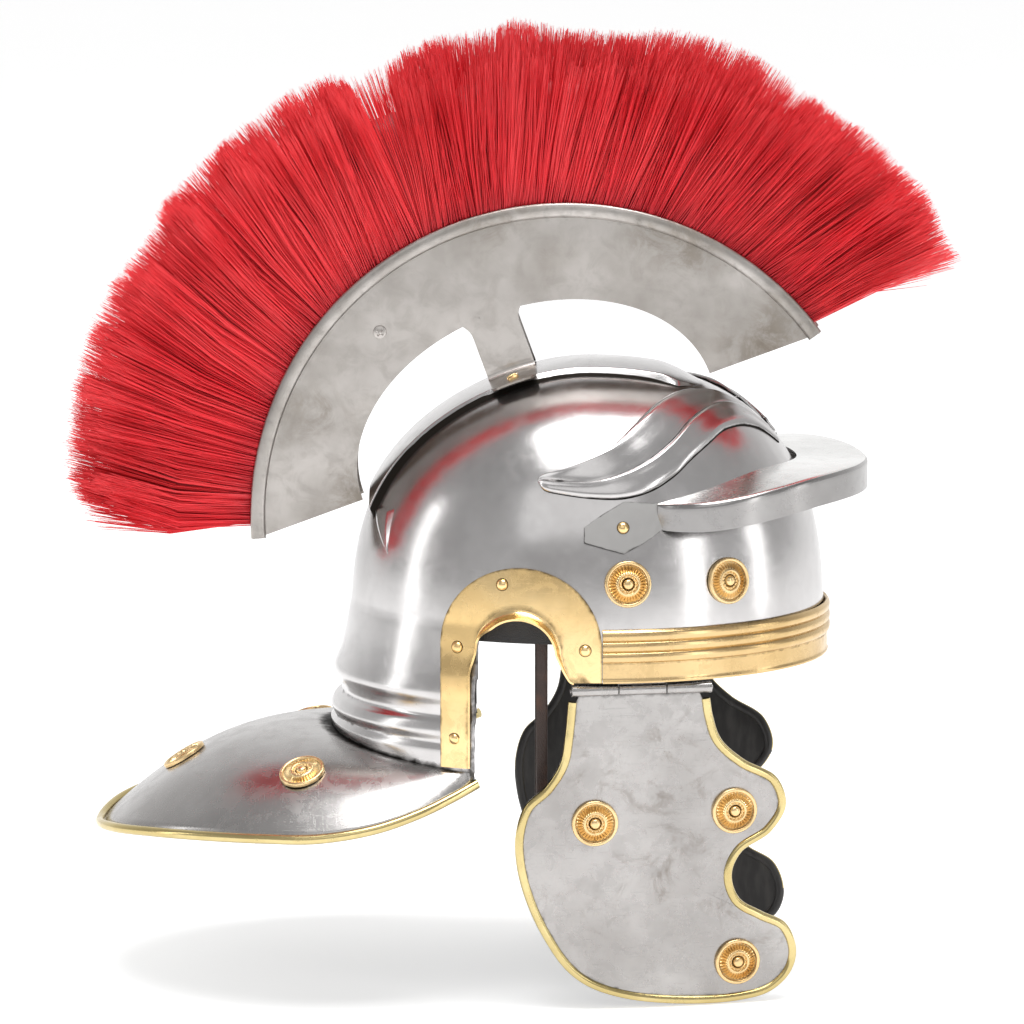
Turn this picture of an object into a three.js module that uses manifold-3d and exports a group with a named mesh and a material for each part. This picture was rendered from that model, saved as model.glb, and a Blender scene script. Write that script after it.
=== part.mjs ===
// A Roman legionary helmet: steel bowl with neck guard, brass trims, hinged cheek guards,
// a crest box with a bristle brush, and a leather chin strap.
// Millimetres, +Z up, +X to the wearer's front, +Y to the wearer's left.
// The pieces are drawn with z = 0 at the lower edge of the brow band. The whole group is then
// lowered, so that the origin lies at the inside of the crown, where the helmet sits on a head.
import * as THREE from 'three';
import { mergeVertices } from 'three/addons/utils/BufferGeometryUtils.js';
import Module from 'manifold-3d';

const wasm = await Module();
wasm.setup();

// Bowl
const BOWL_CENTRE_X = 3.5;
const BOWL_FRONT = 116.3;
const BOWL_REAR = 116;
const BOWL_SIDE = 98;
const BOWL_HEIGHT = 140.5;
const HEIGHT_POWER = 3;
const FRONT_POWER = 2.4;
const SIDE_POWER = 2.1;
const REAR_POWER = 1.7;
const STEEL = 1.3;
const GAP = 0.35;
const DOME_RINGS = [76, 62, 49, 37, 26, 16, 7];
const FRONT_COLUMNS = 9;
const NAPE_COLUMNS = 9;
const NAPE_START = THREE.MathUtils.degToRad(117.5);
const NAPE_SHARE_AT_EAR = 0.35;

// Nape: height at the centre of the back, height beside the ear, and how far it stands out
const NAPE_ROWS = [
  { back: 26, side: 26, out: 0 },
  { back: 9, side: 9, out: 2.9 },
  { back: 0, side: 0, out: 5.2 },
  { back: -9, side: -9, out: 8.2 },
  { back: -15, side: -14.5, out: 5.4 },
  { back: -19.5, side: -19.5, out: 4.6 },
  { back: -22.5, side: -22.5, out: 8 },
  { back: -27, side: -27, out: 9.8 },
  { back: -30.5, side: -32, out: 8.2 },
  { back: -33, side: -36, out: 9.8 },
  { back: -36, side: -45.5, out: 9.4 },
];
const FIRST_NAPE_ONLY_ROW = 3;

// Edge of the neck guard, from beside the ear to the middle of the back
const NECK_EDGE = [
  { x: -51, y: 88, z: -49.5 },
  { x: -63.5, y: 95, z: -55.3 },
  { x: -80, y: 102.5, z: -62 },
  { x: -100, y: 107, z: -68.2 },
  { x: -126, y: 106, z: -72.8 },
  { x: -152, y: 98.5, z: -74.2 },
  { x: -178, y: 85.5, z: -75.7 },
  { x: -205, y: 64, z: -78.2 },
  { x: -226, y: 35, z: -82 },
  { x: -234, y: 0, z: -85.5 },
];
const NECK_STEPS = [0.15, 0.36, 0.6, 0.82, 1];
const NECK_BULGE = 0.48;
const NECK_ROLL = 2.4;

// Central ridge of the bowl
const RIDGE_HALF_WIDTH = 26;
const RIDGE_HEIGHT = 3.4;
const RIDGE_FRONT_X = 61;
const RIDGE_BACK_X = -101;
const RIDGE_STEPS = 13;
const RIDGE_TAPER = 14;

// Embossed brows: each line runs from the temple to the front, as degrees round the bowl and height
const BROW_HEIGHT = 2.4;
const BROW_HALF_WIDTH = 3.6;
const BROW_LINES = [
  [[105, 95], [97, 100], [86, 105], [76, 114], [66, 123], [52, 128], [36, 129], [20, 127], [10, 123]],
  [[103, 94.5], [90, 96], [78, 101], [66, 109.5], [52, 120], [38, 123], [26, 122.5], [15, 118], [9, 110]],
  [[101, 93.5], [92, 91.5], [82, 91], [72, 94.5], [63, 102], [52, 109], [38, 112.5], [24, 110.5], [11, 103]],
];

// Ear opening and its brass trim
const EAR = { x: -30.5, z: 14.5, radius: 20.5 };
const EAR_CUT = { rear: -50, front: 30, low: -60, edge: -0.5 };
const TRIM = { x: -29, z: 16, radius: 38.6, frontEnd: 0.3, rearEnd: -43 };
const TRIM_THICKNESS = 1;
const TRIM_OVER = 0.8;
const TRIM_LEAST_LIP = 0.04;
const TRIM_REAR_INNER_X = -54.5;
const LIP_OUT = 7;
const LIP_IN = 3.5;

// Brow band: height and distance from the steel
const BAND_START_X = 10.2;
const BAND_SECTION = [
  [25.5, 0], [25.5, 1.4], [22.5, 3], [20, 1.4], [17.5, 3], [15, 1.4], [12.5, 3], [10, 1.4], [0, 1.4], [0, 0],
];
const BAND_STEPS = 22;

// Visor: plan of its rim and the height of its upper edge
const VISOR_RIM = [
  { x: 37, y: 89.5, top: 84.5 },
  { x: 48, y: 97, top: 86 },
  { x: 62, y: 100.5, top: 87.6 },
  { x: 78, y: 97.5, top: 90 },
  { x: 96, y: 88, top: 93 },
  { x: 112, y: 73.5, top: 95.5 },
  { x: 126, y: 54, top: 96.3 },
  { x: 136, y: 30, top: 96 },
  { x: 140.6, y: 0, top: 95.4 },
];
const VISOR_DROP = 14.5;
const VISOR_END_DROP = 12;
const VISOR_STEEL = 1.5;
const VISOR_PLATE_OVER = 2.4;
const VISOR_STEPS = 24;
const VISOR_PLATE = [
  { x: 1, low: 67.5, high: 74.5 },
  { x: 10, low: 64.8, high: 80.5 },
  { x: 20, low: 62, high: 86 },
  { x: 29, low: 66.4, high: 85.4 },
  { x: 38, low: 72.6, high: 84.6 },
];
const VISOR_RIVET = { x: 19.5, z: 74 };

// Liner and chin strap
const LINER = { low: 18, high: 44, thickness: 2, gap: 1 };
const STRAP = { x: -19, width: 5.5, thickness: 2, top: 38, side: 88.4, waist: 74, waistZ: -72, bottom: -114 };

// Cheek guards: hinge line in plan, and the outline in the plane of the guard,
// along the hinge and down from it
const HINGE = { x: -5, y: 97, z: -4, yaw: THREE.MathUtils.degToRad(10), radius: 2.85, pin: 1.2, bore: 1.6 };
const KNUCKLES = { start: 0, first: 22.6, second: 45.9, end: 68 };
const CHEEK_STEEL = 1.3;
const CHEEK_ROLL = 2.2;
const CHEEK_STEPS = 42;
const CHEEK_TOP = 5.2;
const CHEEK_CREASE = 22.8;
const CHEEK_LEAN = 0.05;
const CHEEK_CURL = 5;
const CHEEK_MIDDLE = 42;
const CHEEK_CURL_REACH = 70;
const CHEEK_NECK = { start: 4, end: 62, top: 2 };
const KNUCKLE_CLEARANCE = 0.2;
const PIN_END = 0.6;
const CHEEK_OUTLINE = [
  [-1.7, 5.2], [-3.3, 22], [-5.4, 35], [-12, 46.5], [-21.5, 56], [-25.8, 70], [-25.2, 86], [-20, 105], [-10.7, 124.3],
  [-1, 138], [10, 146.5], [28.4, 153], [58, 156.7], [84.9, 156.3], [100, 152.8], [110, 144], [112.9, 132.8],
  [107.4, 119.2], [95, 112.4], [83.5, 105], [79.6, 93], [84, 82.5], [98.7, 73.1], [106.3, 60], [101, 45.7],
  [84.2, 35.9], [73, 25.5], [68.9, 14.1], [67.4, 5.2],
];

// Rosettes, rivets and screws
const ROSETTE = { radius: 11.2, profile: [[0, 0], [11.2, 0], [11.2, 1.8], [8, 1], [4.2, 3.4], [0, 3.9]], sides: 8 };
const RIVET = { profile: [[0, 0], [2.5, 0], [2, 1], [0, 1.5]], sides: 6 };
const SCREW = { profile: [[0, 0], [3.3, 0], [2.8, 1.1], [0, 1.5]], sides: 8 };
const TRIM_RIVETS = [{ x: -38, z: 46.5 }, { x: -59.5, z: 15.2 }, { x: -60.9, z: -29 }, { x: 1.5, z: 16 }];
const BROW_ROSETTES = [{ name: 'rear', x: 21.7, z: 47.3 }, { name: 'front', x: 69.8, z: 46.3 }];
const NECK_ROSETTES = { side: { x: -134, y: 72.5 }, centreStep: 72 / 111 };
const CHEEK_ROSETTES = [
  { name: 'rear', s: 11.9, d: 65 },
  { name: 'front', s: 80.1, d: 61.3 },
  { name: 'chin', s: 82.8, d: 136.5 },
];

// Crest: a tilted frame with b along the crest and n away from the bowl
const CREST = { x: -21.6, z: 106, tilt: THREE.MathUtils.degToRad(20.2) };
const CREST_ARC = { radius: 153.9, centre: -42 };
const CREST_ARCH = { halfLength: 90, height: 63.7 };
const CREST_BOX = { halfWidth: 11.5, plate: 1, bead: 2.4 };
const CREST_TAB = { halfWidth: 12, top: 60, out: 32 };
const CREST_SCREW = { b: -53.5, n: 74.3 };
const CORE_OUTER = 149;
const BRUSH_ROOT = 149.6;
const BRUSH_TIPS = [
  [-71, 243], [-66, 248], [-57, 252], [-45, 250], [-33, 247], [-20, 244], [-9.5, 243], [-5.5, 210],
  [-2, 241], [10, 243], [25, 241], [38, 238], [50, 233], [62, 231], [70, 232], [76, 233],
];
const BRUSH_LOCKS = 20;
const BRUSH_SPREAD = { root: 9.8, tip: 27 };

const COLOURS = {
  steel: { color: 0xb9bcc0, roughness: 0.22, metalness: 1 },
  dullSteel: { color: 0x9a948a, roughness: 0.5, metalness: 0.9 },
  brass: { color: 0xcfae70, roughness: 0.35, metalness: 1 },
  edgeBrass: { color: 0xd9c878, roughness: 0.25, metalness: 1 },
  rosette: { color: 0xd9ac6c, roughness: 0.4, metalness: 1 },
  blackLeather: { color: 0x201c1a, roughness: 0.6, metalness: 0 },
  brownLeather: { color: 0x3c2a22, roughness: 0.7, metalness: 0 },
  wood: { color: 0x6b4a32, roughness: 0.8, metalness: 0 },
  bristle: { color: 0xc92f38, roughness: 0.8, metalness: 0 },
};

const helmet = new THREE.Group();

function addPiece(name, geometry, look) {
  const material = new THREE.MeshStandardMaterial(COLOURS[look]);
  const mesh = new THREE.Mesh(geometry, material);
  mesh.name = name;
  helmet.add(mesh);
  return mesh;
}

function bareGeometry(geometry) {
  const bare = geometry.clone();
  bare.deleteAttribute('normal');
  bare.deleteAttribute('uv');
  return mergeVertices(bare, 1e-4);
}

function toSolid(geometry) {
  const bare = bareGeometry(geometry);
  return new wasm.Manifold(new wasm.Mesh({
    numProp: 3,
    vertProperties: new Float32Array(bare.attributes.position.array),
    triVerts: new Uint32Array(bare.index.array),
  }));
}

function toGeometry(solid) {
  const mesh = solid.getMesh();
  return indexedGeometry(mesh.vertProperties, mesh.triVerts);
}

function indexedGeometry(positions, triangles) {
  const geometry = new THREE.BufferGeometry();
  geometry.setAttribute('position', new THREE.BufferAttribute(Float32Array.from(positions), 3));
  geometry.setIndex(Array.from(triangles));
  return geometry;
}

// Turns a sheet of quads into a closed wall. The sheet is the outer face, and the wall grows
// from it against the faces' normals. A quad that repeats a corner is a triangle.
function thickSheet(points, quads, thickness) {
  const triangles = [];
  for (const [a, b, c, d] of quads) {
    if (a !== b && b !== c) triangles.push([a, b, c]);
    if (c !== d && d !== a) triangles.push([a, c, d]);
  }
  const normals = points.map(() => new THREE.Vector3());
  const edges = new Map();
  for (const [a, b, c] of triangles) {
    const face = points[b].clone().sub(points[a]).cross(points[c].clone().sub(points[a]));
    for (const corner of [a, b, c]) normals[corner].add(face);
    for (const [from, to] of [[a, b], [b, c], [c, a]]) {
      if (edges.has(`${to},${from}`)) edges.delete(`${to},${from}`);
      else edges.set(`${from},${to}`, [from, to]);
    }
  }
  const inner = points.map((point, i) => point.clone().addScaledVector(normals[i].normalize(), -thickness));
  const count = points.length;
  const faces = triangles.flatMap(([a, b, c]) => [a, b, c, a + count, c + count, b + count]);
  for (const [from, to] of edges.values()) {
    faces.push(from, from + count, to + count, from, to + count, to);
  }
  return indexedGeometry([...points, ...inner].flatMap((p) => p.toArray()), faces);
}

// A patch of rows by columns, where place(row, column) gives each point
function sheetPatch(rows, columns, place, thickness) {
  const points = [];
  const quads = [];
  for (let r = 0; r <= rows; r += 1) {
    for (let c = 0; c <= columns; c += 1) {
      points.push(place(r / rows, c / columns));
      if (r < rows && c < columns) {
        const corner = r * (columns + 1) + c;
        quads.push([corner, corner + columns + 1, corner + columns + 2, corner + 1]);
      }
    }
  }
  return thickSheet(points, quads, thickness);
}

// A closed body that joins rings of points, each ring with the same number of points
function ringBody(rings, closed = false) {
  const size = rings[0].length;
  const faces = [];
  const bands = closed ? rings.length : rings.length - 1;
  for (let r = 0; r < bands; r += 1) {
    const next = ((r + 1) % rings.length) * size;
    for (let i = 0; i < size; i += 1) {
      const j = (i + 1) % size;
      faces.push(r * size + i, r * size + j, next + j, r * size + i, next + j, next + i);
    }
  }
  if (!closed) {
    const outline = capTriangles(rings[0]);
    const last = (rings.length - 1) * size;
    for (const [a, b, c] of outline) {
      faces.push(a, c, b, last + a, last + b, last + c);
    }
  }
  const geometry = indexedGeometry(rings.flat().flatMap((p) => p.toArray()), faces);
  return toSolid(geometry).volume() < 0 ? turnedOut(geometry) : geometry;
}

function capTriangles(ring) {
  const origin = ring[0];
  const along = ring[1].clone().sub(origin).normalize();
  const normal = new THREE.Vector3();
  for (let i = 1; i < ring.length - 1; i += 1) {
    normal.add(ring[i].clone().sub(origin).cross(ring[i + 1].clone().sub(origin)));
  }
  const across = normal.normalize().clone().cross(along);
  const flat = ring.map((p) => {
    const step = p.clone().sub(origin);
    return new THREE.Vector2(step.dot(along), step.dot(across));
  });
  return THREE.ShapeUtils.triangulateShape(flat, []);
}

function turnedOut(geometry) {
  const index = geometry.index.array;
  for (let i = 0; i < index.length; i += 3) {
    [index[i], index[i + 1]] = [index[i + 1], index[i]];
  }
  return geometry;
}

function mirrored(geometry) {
  const copy = bareGeometry(geometry);
  copy.scale(1, -1, 1);
  return turnedOut(copy);
}

// Shape of the bowl

function ringSize(z) {
  const rest = 1 - Math.max(z, 0) ** HEIGHT_POWER / BOWL_HEIGHT ** HEIGHT_POWER;
  return {
    front: BOWL_FRONT * rest ** (1 / FRONT_POWER),
    side: BOWL_SIDE * rest ** (1 / SIDE_POWER),
    rear: BOWL_REAR * rest ** (1 / REAR_POWER),
  };
}

function napeShare(angle) {
  const way = (Math.abs(angle) - NAPE_START) / (Math.PI - NAPE_START);
  if (way >= 0) return THREE.MathUtils.lerp(NAPE_SHARE_AT_EAR, 1, Math.sin((way * Math.PI) / 2));
  return NAPE_SHARE_AT_EAR * THREE.MathUtils.smoothstep(Math.abs(angle), Math.PI / 2, NAPE_START);
}

// How far round the nape an angle is: 0 beside the ear, 1 at the middle of the back
function napeWay(angle) {
  return THREE.MathUtils.clamp((Math.abs(angle) - NAPE_START) / (Math.PI - NAPE_START), 0, 1);
}

function napeOut(angle, z) {
  const heights = NAPE_ROWS.map((row) => THREE.MathUtils.lerp(row.side, row.back, napeWay(angle)));
  const below = heights.findIndex((height) => z >= height);
  const share = napeShare(angle);
  if (below === 0) return 0;
  if (below < 0) return NAPE_ROWS.at(-1).out * share;
  const part = (heights[below - 1] - z) / (heights[below - 1] - heights[below]);
  return THREE.MathUtils.lerp(NAPE_ROWS[below - 1].out, NAPE_ROWS[below].out, part) * share;
}

// Point on the outside of the bowl. The angle runs from the front, 0, to the back, pi or -pi.
function bowlPoint(angle, z, out = 0) {
  const size = ringSize(z);
  const length = Math.cos(angle) > 0 ? size.front : size.rear;
  return new THREE.Vector3(
    BOWL_CENTRE_X + (length + out) * Math.cos(angle),
    (size.side + out) * Math.sin(angle),
    z,
  );
}

function angleAt(x, z, out = 0) {
  const size = ringSize(z);
  const length = (x > BOWL_CENTRE_X ? size.front : size.rear) + out;
  return Math.acos(THREE.MathUtils.clamp((x - BOWL_CENTRE_X) / length, -1, 1));
}

// Point over the side of the bowl at x and z, standing off the steel by the distance over
function sidePoint(x, z, over = 0) {
  let out = over;
  for (let turn = 0; turn < 4; turn += 1) {
    out = over + napeOut(angleAt(x, z, out), z);
  }
  return bowlPoint(angleAt(x, z, out), z, out);
}

// Outward direction of the bowl at a point on it
function bowlNormal(point) {
  const depth = (p) => {
    const size = ringSize(Math.min(p.z, BOWL_HEIGHT - 0.01));
    const length = p.x > BOWL_CENTRE_X ? size.front : size.rear;
    return Math.hypot((p.x - BOWL_CENTRE_X) / length, p.y / size.side);
  };
  const slope = (x, y, z) => {
    const step = new THREE.Vector3(x, y, z).multiplyScalar(0.2);
    return depth(point.clone().add(step)) - depth(point.clone().sub(step));
  };
  return new THREE.Vector3(slope(1, 0, 0), slope(0, 1, 0), slope(0, 0, 1)).normalize();
}

function topHeight(x, y) {
  let low = 0;
  let high = BOWL_HEIGHT;
  for (let turn = 0; turn < 40; turn += 1) {
    const z = (low + high) / 2;
    const size = ringSize(z);
    const length = x > BOWL_CENTRE_X ? size.front : size.rear;
    const inside = ((x - BOWL_CENTRE_X) / length) ** 2 + (y / size.side) ** 2 < 1;
    if (inside) low = z;
    else high = z;
  }
  return low;
}

function surfaceNormal(place, u, v, step = 0.5) {
  const alongU = place(u + step, v).sub(place(u - step, v));
  const alongV = place(u, v + step).sub(place(u, v - step));
  return alongU.cross(alongV).normalize();
}

function bowlAngles() {
  const angles = [];
  for (let i = 0; i < FRONT_COLUMNS; i += 1) angles.push((NAPE_START * i) / FRONT_COLUMNS);
  for (let i = 0; i < NAPE_COLUMNS; i += 1) {
    angles.push(NAPE_START + ((Math.PI - NAPE_START) * i) / NAPE_COLUMNS);
  }
  const otherSide = angles.slice(1).map((angle) => -angle).reverse();
  return [...angles, Math.PI, ...otherSide];
}

// The whole edge of the neck guard, from the left ear round the back to the right ear
const neckEdge = new THREE.CatmullRomCurve3([
  ...NECK_EDGE.map((p) => new THREE.Vector3(p.x, p.y, p.z)),
  ...NECK_EDGE.slice(0, -1).map((p) => new THREE.Vector3(p.x, -p.y, p.z)).reverse(),
]);

function neckPoint(angle, step) {
  const way = napeWay(angle);
  const side = angle < 0 ? -1 : 1;
  const last = NAPE_ROWS.at(-1);
  const z = THREE.MathUtils.lerp(last.side, last.back, way);
  const start = bowlPoint(Math.abs(angle), z, last.out * napeShare(angle));
  const edge = neckEdge.getPoint(way / 2);
  const bulge = NECK_BULGE * start.distanceTo(edge) * step * (1 - step);
  const point = start.lerp(edge, step);
  return new THREE.Vector3(point.x, side * point.y, point.z + bulge);
}

function bowlSheet() {
  const angles = bowlAngles();
  const columns = angles.length;
  const crown = new THREE.Vector3(BOWL_CENTRE_X, 0, BOWL_HEIGHT);
  const rows = DOME_RINGS.map((degrees) => {
    const z = BOWL_HEIGHT * Math.sin(THREE.MathUtils.degToRad(degrees)) ** (2 / HEIGHT_POWER);
    return angles.map((angle) => bowlPoint(angle, z));
  });
  for (const row of NAPE_ROWS) {
    rows.push(angles.map((angle) => {
      const z = THREE.MathUtils.lerp(row.side, row.back, napeWay(angle));
      return bowlPoint(angle, z, row.out * napeShare(angle));
    }));
  }
  for (const step of NECK_STEPS) rows.push(angles.map((angle) => neckPoint(angle, step)));

  const points = [crown, ...rows.flat()];
  const quads = angles.map((_, c) => [0, 1 + c, 1 + ((c + 1) % columns), 0]);
  const wholeRows = DOME_RINGS.length + FIRST_NAPE_ONLY_ROW;
  for (let r = 0; r < rows.length - 1; r += 1) {
    for (let c = 0; c < columns; c += 1) {
      const next = (c + 1) % columns;
      const onNape = c >= FRONT_COLUMNS && c < columns - FRONT_COLUMNS;
      if (r < wholeRows - 1 || onNape) {
        const a = 1 + r * columns;
        quads.push([a + c, a + columns + c, a + columns + next, a + next]);
      }
    }
  }
  return usedOnly(points, quads);
}

// Drops the points that no quad uses
function usedOnly(points, quads) {
  const places = new Map();
  const kept = [];
  const renumbered = quads.map((quad) => quad.map((corner) => {
    if (!places.has(corner)) {
      places.set(corner, kept.length);
      kept.push(points[corner]);
    }
    return places.get(corner);
  }));
  return { points: kept, quads: renumbered };
}

// The raised strip over the middle of the bowl, drawn in to a rounded front end
function ridgeBody() {
  const across = [-1, -0.86, 0, 0.86, 1];
  const rings = [];
  for (let i = 0; i <= RIDGE_STEPS; i += 1) {
    const way = i / RIDGE_STEPS;
    const forward = (1 + Math.cos(way * Math.PI)) / 2;
    const centreX = THREE.MathUtils.lerp(RIDGE_BACK_X, RIDGE_FRONT_X, forward);
    const fromFront = RIDGE_FRONT_X - centreX;
    const taper = Math.min(1, Math.sqrt(Math.max(fromFront, 0.4) / RIDGE_TAPER));
    const ring = across.map((share) => {
      const y = share * RIDGE_HALF_WIDTH * taper;
      return ridgePoint(centreX, y, Math.abs(share) === 1 ? -0.2 : RIDGE_HEIGHT);
    });
    const under = across.map((share) => ridgePoint(centreX, share * RIDGE_HALF_WIDTH * taper, -0.9)).reverse();
    rings.push([...ring, ...under]);
  }
  return ringBody(rings);
}

function ridgePoint(x, y, height) {
  const place = (u, v) => new THREE.Vector3(u, v, topHeight(u, v));
  const normal = surfaceNormal(place, x, y);
  return place(x, y).addScaledVector(normal, height);
}

// One embossed brow line that follows the side of the bowl
function browLine(line) {
  const route = line.map(([degrees, z]) => bowlPoint(THREE.MathUtils.degToRad(degrees), z));
  const curve = new THREE.CatmullRomCurve3(route);
  const steps = 9;
  const rings = [];
  for (let i = 0; i <= steps; i += 1) {
    const way = i / steps;
    const centre = curve.getPoint(way);
    const tangent = curve.getTangent(way);
    const swell = Math.max(0.3, Math.sin(Math.PI * Math.min(1, 0.1 + way * 0.85)) ** 0.5);
    const normal = bowlNormal(centre);
    const across = tangent.cross(normal).normalize();
    const ring = [-1, 0, 1].map((share) => centre.clone()
      .addScaledVector(across, share * BROW_HALF_WIDTH * swell)
      .addScaledVector(normal, share === 0 ? BROW_HEIGHT * swell : -0.5));
    rings.push(ring);
  }
  return ringBody(rings);
}

// Outline of the ear opening as seen from the side, cut through both walls
function earCutter() {
  const shape = new THREE.Shape();
  shape.moveTo(EAR_CUT.rear, EAR_CUT.low);
  shape.lineTo(EAR_CUT.rear, EAR.z);
  shape.absarc(EAR.x + 0.5, EAR.z, EAR.radius - 0.5, Math.PI, 0, true);
  shape.lineTo(-9.5, 8);
  shape.lineTo(-4, EAR_CUT.edge);
  shape.lineTo(EAR_CUT.front, EAR_CUT.edge);
  shape.lineTo(EAR_CUT.front, EAR_CUT.low);
  shape.closePath();
  const cutter = new THREE.ExtrudeGeometry(shape, { depth: 260, bevelEnabled: false, curveSegments: 8 });
  cutter.rotateX(Math.PI / 2);
  cutter.translate(0, 130, 0);
  return cutter;
}

function makeBowl() {
  const sheet = bowlSheet();
  let solid = toSolid(thickSheet(sheet.points, sheet.quads, STEEL));
  solid = solid.add(toSolid(ridgeBody()));
  for (const line of BROW_LINES) {
    const brow = browLine(line);
    solid = solid.add(toSolid(brow)).add(toSolid(mirrored(brow)));
  }
  return toGeometry(solid.subtract(toSolid(earCutter())));
}

// Ear trim: a strip round the opening, with a lip that flares outward over the ear
function makeEarTrim() {
  const across = [0, 0.5, 1, 2];
  const stations = 22;
  const place = (way, over) => {
    const step = trimStation(way);
    const inward = Math.min(over, 1);
    const lip = Math.max(over - 1, 0) * step.lip;
    const x = THREE.MathUtils.lerp(step.outer.x, step.inner.x, inward) + step.toCentre.x * lip * LIP_IN;
    const z = THREE.MathUtils.lerp(step.outer.y, step.inner.y, inward) + step.toCentre.y * lip * LIP_IN;
    return sidePoint(x, z, TRIM_OVER + TRIM_THICKNESS + lip * LIP_OUT);
  };
  const points = [];
  const quads = [];
  for (let i = 0; i <= stations; i += 1) {
    for (let c = 0; c < across.length; c += 1) {
      points.push(place(i / stations, across[c]));
      if (i < stations && c < across.length - 1) {
        const a = i * across.length + c;
        quads.push([a, a + 1, a + across.length + 1, a + across.length]);
      }
    }
  }
  return thickSheet(points, quads, TRIM_THICKNESS);
}

// One place along the trim, from its front end over the arch to its rear end
function trimStation(way) {
  const frontPart = 0.14;
  const rearPart = 0.62;
  const outer = new THREE.Vector2();
  const inner = new THREE.Vector2();
  let lip = TRIM_LEAST_LIP;
  if (way < frontPart) {
    const up = way / frontPart;
    outer.set(TRIM.x + TRIM.radius, THREE.MathUtils.lerp(TRIM.frontEnd, TRIM.z, up));
    inner.set(THREE.MathUtils.lerp(-3.6, -9.8, up ** 0.5), THREE.MathUtils.lerp(TRIM.frontEnd, EAR.z, up));
    lip = Math.max(TRIM_LEAST_LIP, up * 0.6);
  } else if (way < rearPart) {
    const turn = (way - frontPart) / (rearPart - frontPart);
    const angle = turn * Math.PI;
    outer.set(TRIM.x + TRIM.radius * Math.cos(angle), TRIM.z + TRIM.radius * Math.sin(angle));
    inner.set(EAR.x + (EAR.radius + 0.2) * Math.cos(angle), EAR.z + (EAR.radius + 0.2) * Math.sin(angle));
    lip = THREE.MathUtils.lerp(0.6, 1, Math.sin(angle)) * THREE.MathUtils.smoothstep(Math.PI - angle, 0.1, 0.8);
    lip = Math.max(TRIM_LEAST_LIP, lip);
  } else {
    const down = (way - rearPart) / (1 - rearPart);
    const z = THREE.MathUtils.lerp(TRIM.z, TRIM.rearEnd, down);
    outer.set(TRIM.x - TRIM.radius, z);
    const turnedIn = THREE.MathUtils.smoothstep(down, 0, 0.25);
    inner.set(THREE.MathUtils.lerp(EAR.x - EAR.radius - 0.2, TRIM_REAR_INNER_X, turnedIn), z);
  }
  const toCentre = new THREE.Vector2(EAR.x, EAR.z).sub(inner).normalize();
  return { outer, inner, toCentre, lip };
}

function makeBrowBand() {
  const end = angleAt(BAND_START_X, 0);
  const rings = [];
  for (let i = 0; i <= BAND_STEPS; i += 1) {
    const angle = THREE.MathUtils.lerp(-end, end, i / BAND_STEPS);
    rings.push(BAND_SECTION.map(([z, out]) => bowlPoint(angle, z, out + GAP)));
  }
  return ringBody(rings);
}

// Visor: a flat peak with a turned-down rim, and a six-sided plate at each end
function makeVisor() {
  const half = VISOR_RIM.map((p) => new THREE.Vector3(p.x, p.y, p.top));
  const other = VISOR_RIM.slice(0, -1).map((p) => new THREE.Vector3(p.x, -p.y, p.top)).reverse();
  const rim = new THREE.CatmullRomCurve3([...half, ...other]);
  const section = (way, across) => {
    const edge = rim.getPoint(way);
    const ending = Math.abs(way - 0.5) * 2;
    const drop = THREE.MathUtils.lerp(VISOR_DROP, VISOR_END_DROP, ending ** 6);
    if (across >= 0.5) {
      const down = (across - 0.5) * 2;
      return new THREE.Vector3(edge.x, edge.y, edge.z - drop * down);
    }
    const inward = 1 - across * 2;
    const angle = Math.atan2(edge.y / BOWL_SIDE, (edge.x - BOWL_CENTRE_X) / BOWL_FRONT);
    const foot = bowlPoint(angle, edge.z, GAP + BROW_HEIGHT + 0.2);
    return edge.clone().lerp(foot, inward).setZ(edge.z);
  };
  const peak = sheetPatch(4, VISOR_STEPS, (across, way) => section(1 - way, across), VISOR_STEEL);
  let solid = toSolid(peak);
  const plate = visorPlate();
  solid = solid.add(toSolid(plate)).add(toSolid(mirrored(plate)));
  return toGeometry(solid);
}

function visorPlate() {
  const columns = VISOR_PLATE.length - 1;
  return sheetPatch(2, columns, (up, along) => {
    const { x, low, high } = VISOR_PLATE[Math.round(along * columns)];
    return sidePoint(x, THREE.MathUtils.lerp(low, high, up), VISOR_PLATE_OVER);
  }, VISOR_STEEL);
}

function makeNeckRim() {
  const steps = NAPE_COLUMNS * 2;
  const rings = [];
  for (let i = 0; i <= steps; i += 1) {
    const centre = neckEdge.getPoint(i / steps);
    const tangent = neckEdge.getTangent(i / steps);
    const outward = new THREE.Vector3(tangent.y, -tangent.x, 0).normalize();
    outward.z = -0.35;
    outward.normalize();
    const up = outward.clone().cross(tangent).normalize();
    const middle = centre.addScaledVector(outward, NECK_ROLL + GAP + 0.1);
    rings.push(circle(middle, outward, up, NECK_ROLL, 6));
  }
  return ringBody(rings);
}

function circle(centre, first, second, radius, sides) {
  const ring = [];
  for (let i = 0; i < sides; i += 1) {
    const turn = (i * 2 * Math.PI) / sides;
    const point = centre.clone().addScaledVector(first, radius * Math.cos(turn));
    ring.push(point.addScaledVector(second, radius * Math.sin(turn)));
  }
  return ring;
}

// A turned piece that stands on a surface point, along the surface's normal
function turnedPiece(kind, point, normal) {
  const profile = kind.profile.map(([radius, height]) => new THREE.Vector2(radius, height));
  const geometry = bareGeometry(new THREE.LatheGeometry(profile, kind.sides));
  const turn = new THREE.Quaternion().setFromUnitVectors(new THREE.Vector3(0, 1, 0), normal);
  const place = new THREE.Matrix4().compose(point.clone().addScaledVector(normal, GAP), turn, new THREE.Vector3(1, 1, 1));
  geometry.applyMatrix4(place);
  const outward = toSolid(geometry).volume() > 0;
  return outward ? geometry : turnedOut(geometry);
}

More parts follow.
